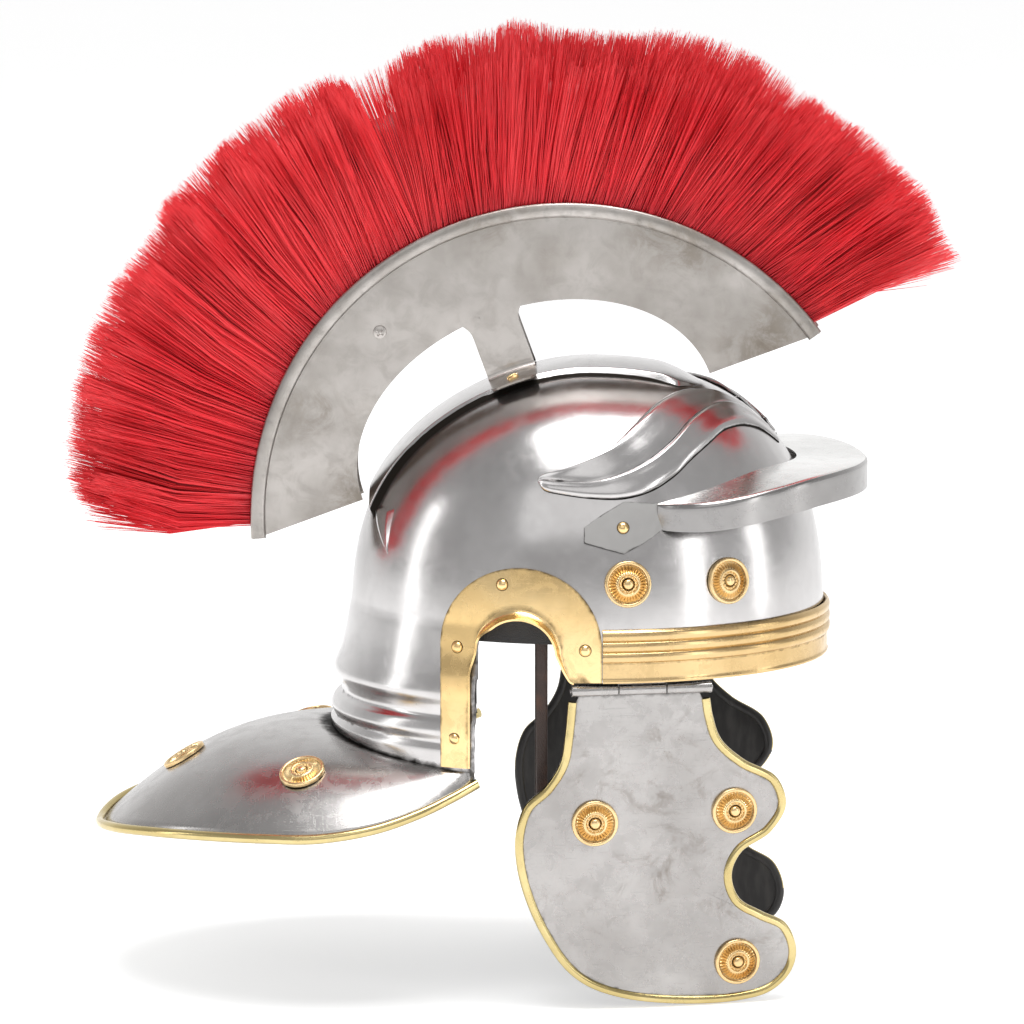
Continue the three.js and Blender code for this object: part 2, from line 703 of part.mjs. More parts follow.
function addOnBothSides(name, kind, point, normal, look) {
  const right = new THREE.Vector3(normal.x, -normal.y, normal.z);
  addPiece(`${name}_left`, turnedPiece(kind, point, normal), look);
  addPiece(`${name}_right`, turnedPiece(kind, new THREE.Vector3(point.x, -point.y, point.z), right), look);
}

function sideNormal(x, z) {
  const place = (u, v) => sidePoint(u, v);
  const normal = surfaceNormal(place, x, z, 1);
  return normal.y < 0 ? normal.negate() : normal;
}

function neckSurface(x, y) {
  const place = { way: 0.5, step: 0.5 };
  for (let turn = 0; turn < 60; turn += 1) {
    const here = neckPoint(wayAngle(place.way), place.step);
    const ahead = neckPoint(wayAngle(place.way + 0.01), place.step);
    const out = neckPoint(wayAngle(place.way), place.step + 0.01);
    const ax = (ahead.x - here.x) / 0.01;
    const ay = (ahead.y - here.y) / 0.01;
    const bx = (out.x - here.x) / 0.01;
    const by = (out.y - here.y) / 0.01;
    const det = ax * by - ay * bx;
    place.way += 0.7 * (((x - here.x) * by - (y - here.y) * bx) / det);
    place.step += 0.7 * ((ax * (y - here.y) - ay * (x - here.x)) / det);
    place.way = THREE.MathUtils.clamp(place.way, 0, 0.985);
    place.step = THREE.MathUtils.clamp(place.step, 0, 0.99);
  }
  return neckPoint(wayAngle(place.way), place.step);
}

function wayAngle(way) {
  return NAPE_START + (Math.PI - NAPE_START) * way;
}

function neckNormal(x, y) {
  const normal = surfaceNormal((u, v) => neckSurface(u, v), x, y, 1.5);
  return normal.z < 0 ? normal.negate() : normal;
}

function makeLiner() {
  const columns = 28;
  const points = [];
  const quads = [];
  const heights = [LINER.high, (LINER.high + LINER.low) / 2, LINER.low];
  for (let r = 0; r < heights.length; r += 1) {
    for (let c = 0; c < columns; c += 1) {
      const angle = (c * 2 * Math.PI) / columns;
      points.push(bowlPoint(angle, heights[r], -STEEL - LINER.gap));
      if (r < heights.length - 1) {
        const next = (c + 1) % columns;
        quads.push([r * columns + c, (r + 1) * columns + c, (r + 1) * columns + next, r * columns + next]);
      }
    }
  }
  return thickSheet(points, quads, LINER.thickness);
}

// Chin strap: a loop from the liner on one side, under the chin, to the liner on the other
function strapRoute() {
  const arc = [];
  const halfTurns = 8;
  for (let i = 0; i <= halfTurns; i += 1) {
    const turn = (Math.PI * i) / (2 * halfTurns);
    arc.push([STRAP.waist * Math.cos(turn), STRAP.waistZ - (STRAP.waistZ - STRAP.bottom) * Math.sin(turn)]);
  }
  const half = [[STRAP.side, STRAP.top], [STRAP.side, 14], [STRAP.side - 3, -8], [STRAP.waist + 6, -42], ...arc];
  const rest = half.slice(0, -1).map(([y, z]) => [-y, z]).reverse();
  return [...half, ...rest].map(([y, z]) => new THREE.Vector3(STRAP.x, y, z));
}

function makeStrap() {
  const route = new THREE.CatmullRomCurve3(strapRoute(), false, 'chordal');
  const steps = 36;
  const forward = new THREE.Vector3(1, 0, 0);
  const rings = [];
  for (let i = 0; i <= steps; i += 1) {
    const centre = route.getPointAt(i / steps);
    const across = route.getTangentAt(i / steps).cross(forward).normalize();
    rings.push([[-1, -1], [1, -1], [1, 1], [-1, 1]].map(([w, t]) => centre.clone()
      .addScaledVector(forward, (w * STRAP.width) / 2)
      .addScaledVector(across, (t * STRAP.thickness) / 2)));
  }
  return ringBody(rings);
}

// Crest

function crestPoint(b, n, y) {
  const cos = Math.cos(CREST.tilt);
  const sin = Math.sin(CREST.tilt);
  return new THREE.Vector3(CREST.x + b * cos - n * sin, y, CREST.z + b * sin + n * cos);
}

function crescent(outer, inset, endInset) {
  const shape = new THREE.Shape();
  const start = Math.asin((-CREST_ARC.centre + endInset) / outer);
  shape.absarc(0, CREST_ARC.centre, outer, start, Math.PI - start, false);
  const halfLength = CREST_ARCH.halfLength + inset;
  shape.lineTo(-halfLength, endInset);
  shape.absellipse(0, endInset, halfLength, CREST_ARCH.height + inset - endInset, Math.PI, 0, true, 0);
  shape.closePath();
  return shape;
}

function slab(shape, low, high, segments) {
  const geometry = new THREE.ExtrudeGeometry(shape, { depth: high - low, bevelEnabled: false, curveSegments: segments });
  const position = geometry.attributes.position;
  for (let i = 0; i < position.count; i += 1) {
    const point = crestPoint(position.getX(i), position.getY(i), low + position.getZ(i));
    position.setXYZ(i, point.x, point.y, point.z);
  }
  return toSolid(geometry).volume() < 0 ? turnedOut(bareGeometry(geometry)) : bareGeometry(geometry);
}

function makeCrestPlate() {
  const low = CREST_BOX.halfWidth - CREST_BOX.plate;
  const plate = slab(crescent(CREST_ARC.radius - 1, 0, 0), low, CREST_BOX.halfWidth, 12);
  const start = Math.asin(-CREST_ARC.centre / CREST_ARC.radius) + 0.005;
  const steps = 22;
  const rings = [];
  for (let i = 0; i <= steps; i += 1) {
    const turn = THREE.MathUtils.lerp(start, Math.PI - start, i / steps);
    const along = new THREE.Vector2(Math.cos(turn), Math.sin(turn));
    const radius = CREST_ARC.radius - CREST_BOX.bead;
    rings.push([[-1, 0.2], [-0.5, 0.85], [0.5, 0.85], [1, 0.2], [1, -0.5], [-1, -0.5]].map(([r, side]) => {
      const reach = radius + r * CREST_BOX.bead;
      return crestPoint(along.x * reach, CREST_ARC.centre + along.y * reach, CREST_BOX.halfWidth + side * CREST_BOX.bead * 0.8);
    }));
  }
  return toGeometry(toSolid(plate).add(toSolid(ringBody(rings))).add(toSolid(makeCrestTab())));
}

// The tab turns down from the plate and then outward over the ridge
function makeCrestTab() {
  const inner = CREST_BOX.halfWidth - CREST_BOX.plate;
  const along = [-1, -0.4, 0.4, 1];
  const reach = [inner + 8, inner + 15, CREST_TAB.out];
  const overRidge = (b, y) => {
    let n = 30;
    for (let turn = 0; turn < 30; turn += 1) {
      const point = crestPoint(b, n, y);
      n += (topHeight(point.x, Math.min(y, RIDGE_HALF_WIDTH)) + RIDGE_HEIGHT + GAP + 1.3 - point.z) * 0.8;
    }
    return crestPoint(b, n, y);
  };
  const rows = along.map((share) => {
    const b = share * CREST_TAB.halfWidth;
    return [
      crestPoint(b * 1.25, CREST_ARCH.height + 8, CREST_BOX.halfWidth),
      crestPoint(b, CREST_TAB.top - 10, CREST_BOX.halfWidth),
      overRidge(b, CREST_BOX.halfWidth),
      ...reach.map((y) => overRidge(b * (y > 30 ? 0.7 : 0.95), y)),
    ];
  });
  const size = rows[0].length;
  const quads = [];
  for (let r = 0; r < rows.length - 1; r += 1) {
    for (let c = 0; c < size - 1; c += 1) {
      const a = r * size + c;
      quads.push([a, a + size, a + size + 1, a + 1]);
    }
  }
  return thickSheet(rows.flat(), quads, CREST_BOX.plate);
}

function makeCore() {
  const half = CREST_BOX.halfWidth - CREST_BOX.plate - GAP;
  return slab(crescent(CORE_OUTER, 1.5, 0.8), -half, half, 12);
}

// Brush: a fan of locks on one backing, with a parting near its middle
function makeBrush() {
  const stations = BRUSH_LOCKS * 2;
  const first = BRUSH_TIPS[0][0];
  const last = BRUSH_TIPS.at(-1)[0];
  const rootSpan = 70.5;
  const rings = [];
  for (let i = 0; i <= stations; i += 1) {
    const way = i / stations;
    const tipDegrees = THREE.MathUtils.lerp(first, last, way);
    const rootTurn = THREE.MathUtils.degToRad(THREE.MathUtils.lerp(-rootSpan, rootSpan, way));
    const tipTurn = THREE.MathUtils.degToRad(tipDegrees);
    const between = i % 2 === 1;
    const wave = 3 * Math.sin(i * 1.7);
    const radius = brushRadius(tipDegrees) - (between ? 5 : 0) + wave * 0.5;
    const spread = BRUSH_SPREAD.tip - (between ? 4 : 0) + wave;
    const place = (share, y) => {
      const reach = THREE.MathUtils.lerp(BRUSH_ROOT, radius, share);
      const turn = THREE.MathUtils.lerp(rootTurn, tipTurn, share);
      return crestPoint(reach * Math.sin(turn), CREST_ARC.centre + reach * Math.cos(turn), y);
    };
    const halfAt = (share) => THREE.MathUtils.lerp(BRUSH_SPREAD.root, spread, share);
    rings.push([
      place(0, -BRUSH_SPREAD.root), place(0.06, -BRUSH_SPREAD.root), place(0.5, -halfAt(0.42)), place(0.93, -halfAt(0.9)),
      place(1, between ? 4 : -6), place(0.93, halfAt(0.9)), place(0.5, halfAt(0.42)),
      place(0.06, BRUSH_SPREAD.root), place(0, BRUSH_SPREAD.root),
    ]);
  }
  return ringBody(rings);
}

function brushRadius(degrees) {
  for (let i = 1; i < BRUSH_TIPS.length; i += 1) {
    const [to, toRadius] = BRUSH_TIPS[i];
    const [from, fromRadius] = BRUSH_TIPS[i - 1];
    if (degrees <= to) return THREE.MathUtils.lerp(fromRadius, toRadius, (degrees - from) / (to - from));
  }
  return BRUSH_TIPS.at(-1)[1];
}

// Cheek guards are drawn in their own plane: s along the hinge, d down from it, n outward.
// This places a point on the left side of the helmet.
function cheekPoint(s, d, n) {
  const cos = Math.cos(HINGE.yaw);
  const sin = Math.sin(HINGE.yaw);
  return new THREE.Vector3(HINGE.x + s * cos + n * sin, HINGE.y - s * sin + n * cos, HINGE.z - d);
}

function cheekBend(s, d) {
  const below = Math.max(d - CHEEK_CREASE, 0);
  const fromMiddle = (s - CHEEK_MIDDLE) / CHEEK_CURL_REACH;
  const curl = THREE.MathUtils.smoothstep(d, CHEEK_CREASE, 60);
  return -CHEEK_LEAN * below - CHEEK_CURL * fromMiddle ** 2 * curl;
}

const cheekOutline = new THREE.CatmullRomCurve3(CHEEK_OUTLINE.map(([s, d]) => new THREE.Vector3(s, d, 0)), false, 'centripetal');

function insetOutline(inset, steps) {
  const points = [];
  for (let i = 0; i <= steps; i += 1) {
    const point = cheekOutline.getPointAt(i / steps);
    const tangent = cheekOutline.getTangentAt(i / steps);
    points.push([point.x + tangent.y * inset, point.y - tangent.x * inset]);
  }
  return points;
}

function makeCheekPlate() {
  const shape = new THREE.Shape();
  for (const [i, [s, d]] of insetOutline(CHEEK_ROLL * 2 + GAP + 0.1, CHEEK_STEPS).entries()) {
    const down = Math.max(d, CHEEK_TOP);
    if (i === 0) shape.moveTo(s, down);
    else shape.lineTo(s, down);
  }
  shape.lineTo(CHEEK_NECK.end, CHEEK_TOP);
  shape.lineTo(CHEEK_NECK.end, CHEEK_NECK.top);
  shape.lineTo(CHEEK_NECK.start, CHEEK_NECK.top);
  shape.lineTo(CHEEK_NECK.start, CHEEK_TOP);
  shape.closePath();
  const cutter = new THREE.ExtrudeGeometry(shape, { depth: 60, bevelEnabled: false });
  const position = cutter.attributes.position;
  for (let i = 0; i < position.count; i += 1) {
    const point = cheekPoint(position.getX(i), position.getY(i), 20 - position.getZ(i));
    position.setXYZ(i, point.x, point.y, point.z);
  }
  const cutterGeometry = bareGeometry(cutter);
  const cutterSolid = toSolid(toSolid(cutterGeometry).volume() < 0 ? turnedOut(cutterGeometry) : cutterGeometry);
  const downs = [0, CHEEK_CREASE, 36, 60, 110, 165];
  const alongs = [-35, -10, 16, 42, 68, 94, 118];
  const points = downs.flatMap((d) => alongs.map((s) => cheekPoint(s, d, cheekBend(s, d) + CHEEK_STEEL / 2)));
  const quads = [];
  for (let r = 0; r < downs.length - 1; r += 1) {
    for (let c = 0; c < alongs.length - 1; c += 1) {
      const a = r * alongs.length + c;
      quads.push([a, a + 1, a + alongs.length + 1, a + alongs.length]);
    }
  }
  const sheet = thickSheet(points, quads, CHEEK_STEEL);
  const sheetSolid = toSolid(sheet);
  const middleSlot = knuckle(KNUCKLES.first, KNUCKLES.second, HINGE.radius + GAP, 0);
  let plate = sheetSolid.intersect(cutterSolid).subtract(toSolid(middleSlot));
  const boreSlot = knuckle(KNUCKLES.start - 1, KNUCKLES.end + 1, HINGE.bore, 0);
  plate = plate.subtract(toSolid(boreSlot));
  plate = plate.add(toSolid(knuckle(KNUCKLES.start, KNUCKLES.first - KNUCKLE_CLEARANCE, HINGE.radius, HINGE.bore)));
  plate = plate.add(toSolid(knuckle(KNUCKLES.second + KNUCKLE_CLEARANCE, KNUCKLES.end, HINGE.radius, HINGE.bore)));
  return toGeometry(plate);
}

// A length of hinge barrel, solid if its bore is zero
function knuckle(from, to, radius, bore) {
  const profile = bore > 0
    ? [[bore, from], [radius, from], [radius, to], [bore, to], [bore, from]]
    : [[0, from], [radius, from], [radius, to], [0, to]];
  const barrel = bareGeometry(new THREE.LatheGeometry(profile.map(([r, s]) => new THREE.Vector2(r, s)), 10));
  const position = barrel.attributes.position;
  for (let i = 0; i < position.count; i += 1) {
    const point = cheekPoint(position.getY(i), -position.getZ(i), position.getX(i));
    position.setXYZ(i, point.x, point.y, point.z);
  }
  return toSolid(barrel).volume() < 0 ? turnedOut(barrel) : barrel;
}

function makeCheekEdge() {
  const steps = CHEEK_STEPS;
  const sides = 5;
  const rings = [];
  for (let i = 0; i <= steps; i += 1) {
    const point = cheekOutline.getPointAt(i / steps);
    const tangent = cheekOutline.getTangentAt(i / steps);
    const s = point.x + tangent.y * CHEEK_ROLL;
    const d = point.y - tangent.x * CHEEK_ROLL;
    const centre = cheekPoint(s, d, cheekBend(s, d));
    const across = cheekPoint(s + tangent.y, d - tangent.x, cheekBend(s + tangent.y, d - tangent.x)).sub(centre).normalize();
    const ahead = cheekPoint(s + tangent.x, d + tangent.y, cheekBend(s + tangent.x, d + tangent.y)).sub(centre);
    rings.push(circle(centre, across, ahead.cross(across).normalize(), CHEEK_ROLL, sides));
  }
  return ringBody(rings);
}

// The helmet's half of the hinge: the middle knuckle and a leaf inside the bowl
function makeHingeLeaf() {
  const place = (up, along) => {
    const s = THREE.MathUtils.lerp(KNUCKLES.first + 0.6, KNUCKLES.second - 0.6, along);
    const foot = cheekPoint(s, 0, 0);
    if (up < 0.4) return cheekPoint(s, -1.9, 0.6);
    const z = THREE.MathUtils.lerp(0, 17, up);
    return sidePoint(foot.x, z, -STEEL - GAP - 0.5);
  };
  const sheet = sheetPatch(2, 2, (row, column) => place(row, column), 1.1);
  const leaf = toSolid(sheet);
  const start = KNUCKLES.first + KNUCKLE_CLEARANCE;
  const barrel = toSolid(knuckle(start, KNUCKLES.second - KNUCKLE_CLEARANCE, HINGE.radius, HINGE.bore));
  return toGeometry(leaf.subtract(toSolid(knuckle(0, KNUCKLES.end, HINGE.bore, 0))).add(barrel));
}

function cheekNormal(s, d) {
  const place = (u, v) => cheekPoint(u, v, cheekBend(u, v));
  const normal = surfaceNormal(place, s, d, 2);
  return normal.y < 0 ? normal.negate() : normal;
}

// Assembly

addPiece('bowl', makeBowl(), 'steel');
addPiece('brow_band', makeBrowBand(), 'brass');
addPiece('visor', makeVisor(), 'steel');
addPiece('neck_rim', makeNeckRim(), 'edgeBrass');
addPiece('liner', makeLiner(), 'blackLeather');
addPiece('chin_strap', makeStrap(), 'brownLeather');

const leftTrim = makeEarTrim();
addPiece('ear_trim_left', leftTrim, 'brass');
addPiece('ear_trim_right', mirrored(leftTrim), 'brass');
for (const [i, rivet] of TRIM_RIVETS.entries()) {
  const normal = sideNormal(rivet.x, rivet.z);
  const point = sidePoint(rivet.x, rivet.z, TRIM_OVER + TRIM_THICKNESS + 0.2);
  addOnBothSides(`trim_rivet_${i + 1}`, RIVET, point, normal, 'brass');
}

const rivetSeat = sidePoint(VISOR_RIVET.x, VISOR_RIVET.z, VISOR_PLATE_OVER);
addOnBothSides('visor_rivet', RIVET, rivetSeat, sideNormal(VISOR_RIVET.x, VISOR_RIVET.z), 'brass');

for (const { name, x, z } of BROW_ROSETTES) {
  addOnBothSides(`brow_rosette_${name}`, ROSETTE, sidePoint(x, z), sideNormal(x, z), 'rosette');
}
const neckSide = NECK_ROSETTES.side;
addOnBothSides('neck_rosette', ROSETTE, neckSurface(neckSide.x, neckSide.y), neckNormal(neckSide.x, neckSide.y), 'rosette');
const backPoint = neckPoint(Math.PI, NECK_ROSETTES.centreStep);
const backAhead = neckPoint(Math.PI, NECK_ROSETTES.centreStep + 0.02)
  .sub(neckPoint(Math.PI, NECK_ROSETTES.centreStep - 0.02));
const backNormal = new THREE.Vector3(backAhead.z, 0, -backAhead.x).normalize();
addPiece('neck_rosette_centre', turnedPiece(ROSETTE, backPoint, backNormal), 'rosette');

const leftPlate = makeCrestPlate();
addPiece('crest_plate_left', leftPlate, 'dullSteel');
addPiece('crest_plate_right', mirrored(leftPlate), 'dullSteel');
addPiece('crest_core', makeCore(), 'wood');
addPiece('crest_brush', makeBrush(), 'bristle');
const sideways = new THREE.Vector3(0, 1, 0);
const screwSeat = crestPoint(CREST_SCREW.b, CREST_SCREW.n, CREST_BOX.halfWidth);
addOnBothSides('crest_screw', SCREW, screwSeat, sideways, 'steel');

const leftGuard = makeCheekPlate();
addPiece('cheek_guard_left', leftGuard, 'steel');
addPiece('cheek_guard_right', mirrored(leftGuard), 'steel');
const leftEdge = makeCheekEdge();
addPiece('cheek_edge_left', leftEdge, 'edgeBrass');
addPiece('cheek_edge_right', mirrored(leftEdge), 'edgeBrass');
for (const { name, s, d } of CHEEK_ROSETTES) {
  const point = cheekPoint(s, d, cheekBend(s, d) + CHEEK_STEEL / 2 + 0.2);
  addOnBothSides(`cheek_rosette_${name}`, ROSETTE, point, cheekNormal(s, d), 'rosette');
}
const leftLeaf = makeHingeLeaf();
addPiece('hinge_leaf_left', leftLeaf, 'steel');
addPiece('hinge_leaf_right', mirrored(leftLeaf), 'steel');
const leftPin = knuckle(KNUCKLES.start - PIN_END, KNUCKLES.end + PIN_END, HINGE.pin, 0);
addPiece('hinge_pin_left', leftPin, 'steel');
addPiece('hinge_pin_right', mirrored(leftPin), 'steel');

helmet.position.set(-BOWL_CENTRE_X, 0, -(BOWL_HEIGHT - STEEL));

export default helmet;
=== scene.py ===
# %% [markdown]
# A Roman legionary helmet, dressed for the camera.
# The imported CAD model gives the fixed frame: its bodies, hinges and sizes. This file rebuilds the
# visible skin of each part on top of it, finer than the CAD solids, and gives each part its finish.

# %% Load the frame
import math

import bpy
import numpy as np
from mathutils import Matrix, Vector


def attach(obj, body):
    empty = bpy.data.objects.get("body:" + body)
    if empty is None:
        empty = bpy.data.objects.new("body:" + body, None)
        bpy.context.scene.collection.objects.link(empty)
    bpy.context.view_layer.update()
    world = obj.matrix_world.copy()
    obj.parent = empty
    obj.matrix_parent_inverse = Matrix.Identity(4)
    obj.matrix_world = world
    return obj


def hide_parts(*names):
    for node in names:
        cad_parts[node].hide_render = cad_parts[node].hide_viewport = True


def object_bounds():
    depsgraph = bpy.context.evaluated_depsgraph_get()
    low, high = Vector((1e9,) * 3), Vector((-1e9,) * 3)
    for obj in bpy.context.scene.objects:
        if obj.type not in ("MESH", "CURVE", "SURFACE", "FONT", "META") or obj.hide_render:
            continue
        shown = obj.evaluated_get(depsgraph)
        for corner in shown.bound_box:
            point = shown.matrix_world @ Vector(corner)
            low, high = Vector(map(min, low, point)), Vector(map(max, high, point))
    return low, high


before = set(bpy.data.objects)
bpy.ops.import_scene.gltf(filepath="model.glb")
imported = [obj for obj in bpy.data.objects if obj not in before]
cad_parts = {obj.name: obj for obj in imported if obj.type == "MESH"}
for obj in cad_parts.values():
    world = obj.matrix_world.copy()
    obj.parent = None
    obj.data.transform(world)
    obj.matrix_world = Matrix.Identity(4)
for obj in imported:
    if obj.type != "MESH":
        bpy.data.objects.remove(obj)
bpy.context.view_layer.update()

# %% [markdown]
# All sizes below are the drawing's own millimetres: x to the wearer's front, y to the left, and
# z = 0 at the lower edge of the brow band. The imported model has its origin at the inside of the
# crown, so each mesh is shifted once, when it is made. A drawing that keeps the maker's numbers is
# easier to check than one in shifted metres.

# %% Drawing frame and mesh helpers
MM = 0.001
SHIFT = np.array([-3.5, 0.0, -139.2])


def lerp(a, b, share):
    return a + (b - a) * share


def smoothstep(x, low, high):
    share = np.clip((x - low) / (high - low), 0, 1)
    return share * share * (3 - 2 * share)


def unit(vectors):
    length = np.linalg.norm(vectors, axis=-1, keepdims=True)
    return vectors / np.maximum(length, 1e-9)


def stack(x, y, z):
    return np.stack(np.broadcast_arrays(x, y, z), -1).astype(float)


def signed_volume(points, faces):
    total = 0.0
    for face in faces:
        corner = points[face[0]]
        for second, third in zip(face[1:-1], face[2:]):
            total += float(np.dot(corner, np.cross(points[second], points[third])))
    return total / 6


def make_piece(name, points, faces, materials, slots=None, stain=None, sharp=35):
    mesh = bpy.data.meshes.new(name)
    mesh.from_pydata(((np.asarray(points) + SHIFT) * MM).tolist(), [], [list(map(int, f)) for f in faces])
    for material in materials:
        mesh.materials.append(material)
    if slots is not None:
        mesh.polygons.foreach_set("material_index", np.asarray(slots, dtype=np.int32))
    if stain is not None:
        layer = mesh.attributes.new("stain", "FLOAT", "POINT")
        layer.data.foreach_set("value", np.asarray(stain, np.float32))
    mesh.validate()
    mesh.shade_smooth()
    mesh.set_sharp_from_angle(angle=math.radians(sharp))
    piece = bpy.data.objects.new(name, mesh)
    bpy.context.scene.collection.objects.link(piece)
    return piece


def grid_quads(rows, columns, wrap=False):
    row = np.arange(rows - 1)[:, None]
    column = np.arange(columns if wrap else columns - 1)[None, :]
    corner = row * columns + column
    beside = row * columns + (column + 1) % columns
    return np.stack([corner, corner + columns, beside + columns, beside], -1).reshape(-1, 4)


def grid_normals(grid, away_from=None, towards=None, wrap=False):
    along_row = np.gradient(grid, axis=0)
    if wrap:
        along_column = np.roll(grid, -1, axis=1) - np.roll(grid, 1, axis=1)
    else:
        along_column = np.gradient(grid, axis=1)
    normals = unit(np.cross(along_row, along_column))
    side = grid - np.asarray(away_from) if away_from is not None else np.broadcast_to(towards, grid.shape)
    if np.sum(normals * side) < 0:
        normals = -normals
    return normals


def wall_mesh(grid, thickness, away_from=None, towards=None, wrap=False):
    """Points and faces of a closed wall: the grid is its outer face."""
    rows, columns = grid.shape[:2]
    normals = grid_normals(grid, away_from, towards, wrap)
    inner = grid - normals * thickness
    outer_quads = grid_quads(rows, columns, wrap)
    count = rows * columns
    faces = [outer_quads, outer_quads[:, ::-1] + count]
    edges = []
    top = np.arange(columns)
    bottom = (rows - 1) * columns + np.arange(columns)
    edges.append(np.stack([top, np.roll(top, -1)], -1)[: columns if wrap else -1])
    edges.append(np.stack([np.roll(bottom, -1), bottom], -1)[: columns if wrap else -1])
    if not wrap:
        left = np.arange(rows) * columns
        edges.append(np.stack([left[1:], left[:-1]], -1))
        right = left + columns - 1
        edges.append(np.stack([right[:-1], right[1:]], -1))
    for pair in edges:
        faces.append(np.stack([pair[:, 0], pair[:, 1], pair[:, 1] + count, pair[:, 0] + count], -1))
    points = np.concatenate([grid.reshape(-1, 3), inner.reshape(-1, 3)])
    faces = np.concatenate(faces)
    slots = np.zeros(len(faces), int)
    slots[len(outer_quads) : 2 * len(outer_quads)] = 1
    a, b, c = (points[faces[:, i]] for i in (0, 1, 2))
    d = points[faces[:, 3]]
    volume = np.sum(a * np.cross(b, c)) + np.sum(a * np.cross(c, d))
    if volume < 0:
        faces = faces[:, ::-1]
    return points, faces, slots


def rings_mesh(rings, closed=False):
    """Points and faces of a body that joins rings of points, capped at both ends."""
    count, size = rings.shape[:2]
    points = rings.reshape(-1, 3)
    loops = np.concatenate([rings, rings[:1]]) if closed else rings
    quads = grid_quads(len(loops), size, wrap=True) % len(points)
    faces = quads.tolist()
    if not closed:
        faces.append(list(range(size)))
        faces.append([(count - 1) * size + i for i in reversed(range(size))])
    if signed_volume(points, faces[: len(quads)] + faces[len(quads) :]) < 0:
        faces = [face[::-1] for face in faces]
    return points, faces


def joined(parts):
    """One point list and one face list out of several."""
    points = []
    faces = []
    start = 0
    for part_points, part_faces in parts:
        points.append(np.asarray(part_points))
        faces += [[int(i) + start for i in face] for face in part_faces]
        start += len(part_points)
    return np.concatenate(points), faces


def mirrored(points, faces):
    flipped = np.asarray(points) * np.array([1, -1, 1])
    return flipped, [list(face)[::-1] for face in faces]


class SmoothCurve:
    """A smooth curve through points, spaced as the CAD's curves are."""

    def __init__(self, points, power=0.25):
        self.points = np.asarray(points, float)
        self.power = power
        self.table = None

    def at(self, share):
        share = np.clip(np.atleast_1d(share), 0, 1)
        count = len(self.points)
        place = share * (count - 1)
        segment = np.minimum(place.astype(int), count - 2)
        weight = (place - segment)[:, None]
        ends = np.concatenate([
            2 * self.points[:1] - self.points[1:2], self.points, 2 * self.points[-1:] - self.points[-2:-1],
        ])
        p0, p1, p2, p3 = (ends[segment + i] for i in range(4))
        d0, d1, d2 = (
            np.maximum(np.sum((b - a) ** 2, -1, keepdims=True) ** self.power, 1e-4)
            for a, b in ((p0, p1), (p1, p2), (p2, p3))
        )
        t1 = ((p1 - p0) / d0 - (p2 - p0) / (d0 + d1) + (p2 - p1) / d1) * d1
        t2 = ((p2 - p1) / d1 - (p3 - p1) / (d1 + d2) + (p3 - p2) / d2) * d1
        cubic = 2 * p1 - 2 * p2 + t1 + t2
        square = -3 * p1 + 3 * p2 - 2 * t1 - t2
        return p1 + t1 * weight + square * weight**2 + cubic * weight**3

    def at_length(self, share):
        if self.table is None:
            fine = np.linspace(0, 1, 2001)
            steps = np.linalg.norm(np.diff(self.at(fine), axis=0), axis=1)
            self.table = fine, np.concatenate([[0], np.cumsum(steps)])
        fine, lengths = self.table
        return self.at(np.interp(np.atleast_1d(share) * lengths[-1], lengths, fine))

    def length(self):
        self.at_length(0)
        return self.table[1][-1]


# %% [markdown]
# Camera. The photograph looks at the wearer's right side, nine degrees from above, with a long lens
# a few metres away. The camera is placed by script and aimed with a track quaternion, so the same
# numbers give the same view each time.

# %% Camera
CAMERA_PLACE = Vector((-0.0368, -2.9631, 0.3971))
CAMERA_TARGET = Vector((-0.0368, 0, -0.0722))
camera_data = bpy.data.cameras.new("photo_camera")
camera_data.lens = 215.24
camera_data.sensor_width = 36
camera_data.clip_end = 100
camera = bpy.data.objects.new("photo_camera", camera_data)
camera.location = CAMERA_PLACE
camera.rotation_euler = (CAMERA_TARGET - CAMERA_PLACE).to_track_quat("-Z", "Y").to_euler()
bpy.context.scene.collection.objects.link(camera)
bpy.context.scene.camera = camera
bpy.context.scene.view_settings.view_transform = "Standard"

# %% [markdown]
# Node helpers. Every finish below is a small tree of noise textures that change the colour,
# the roughness and the bump of one Principled shader. All of them read Object coordinates in
# metres, so a noise scale of 100 makes spots about a centimetre across.

# %% Material helpers


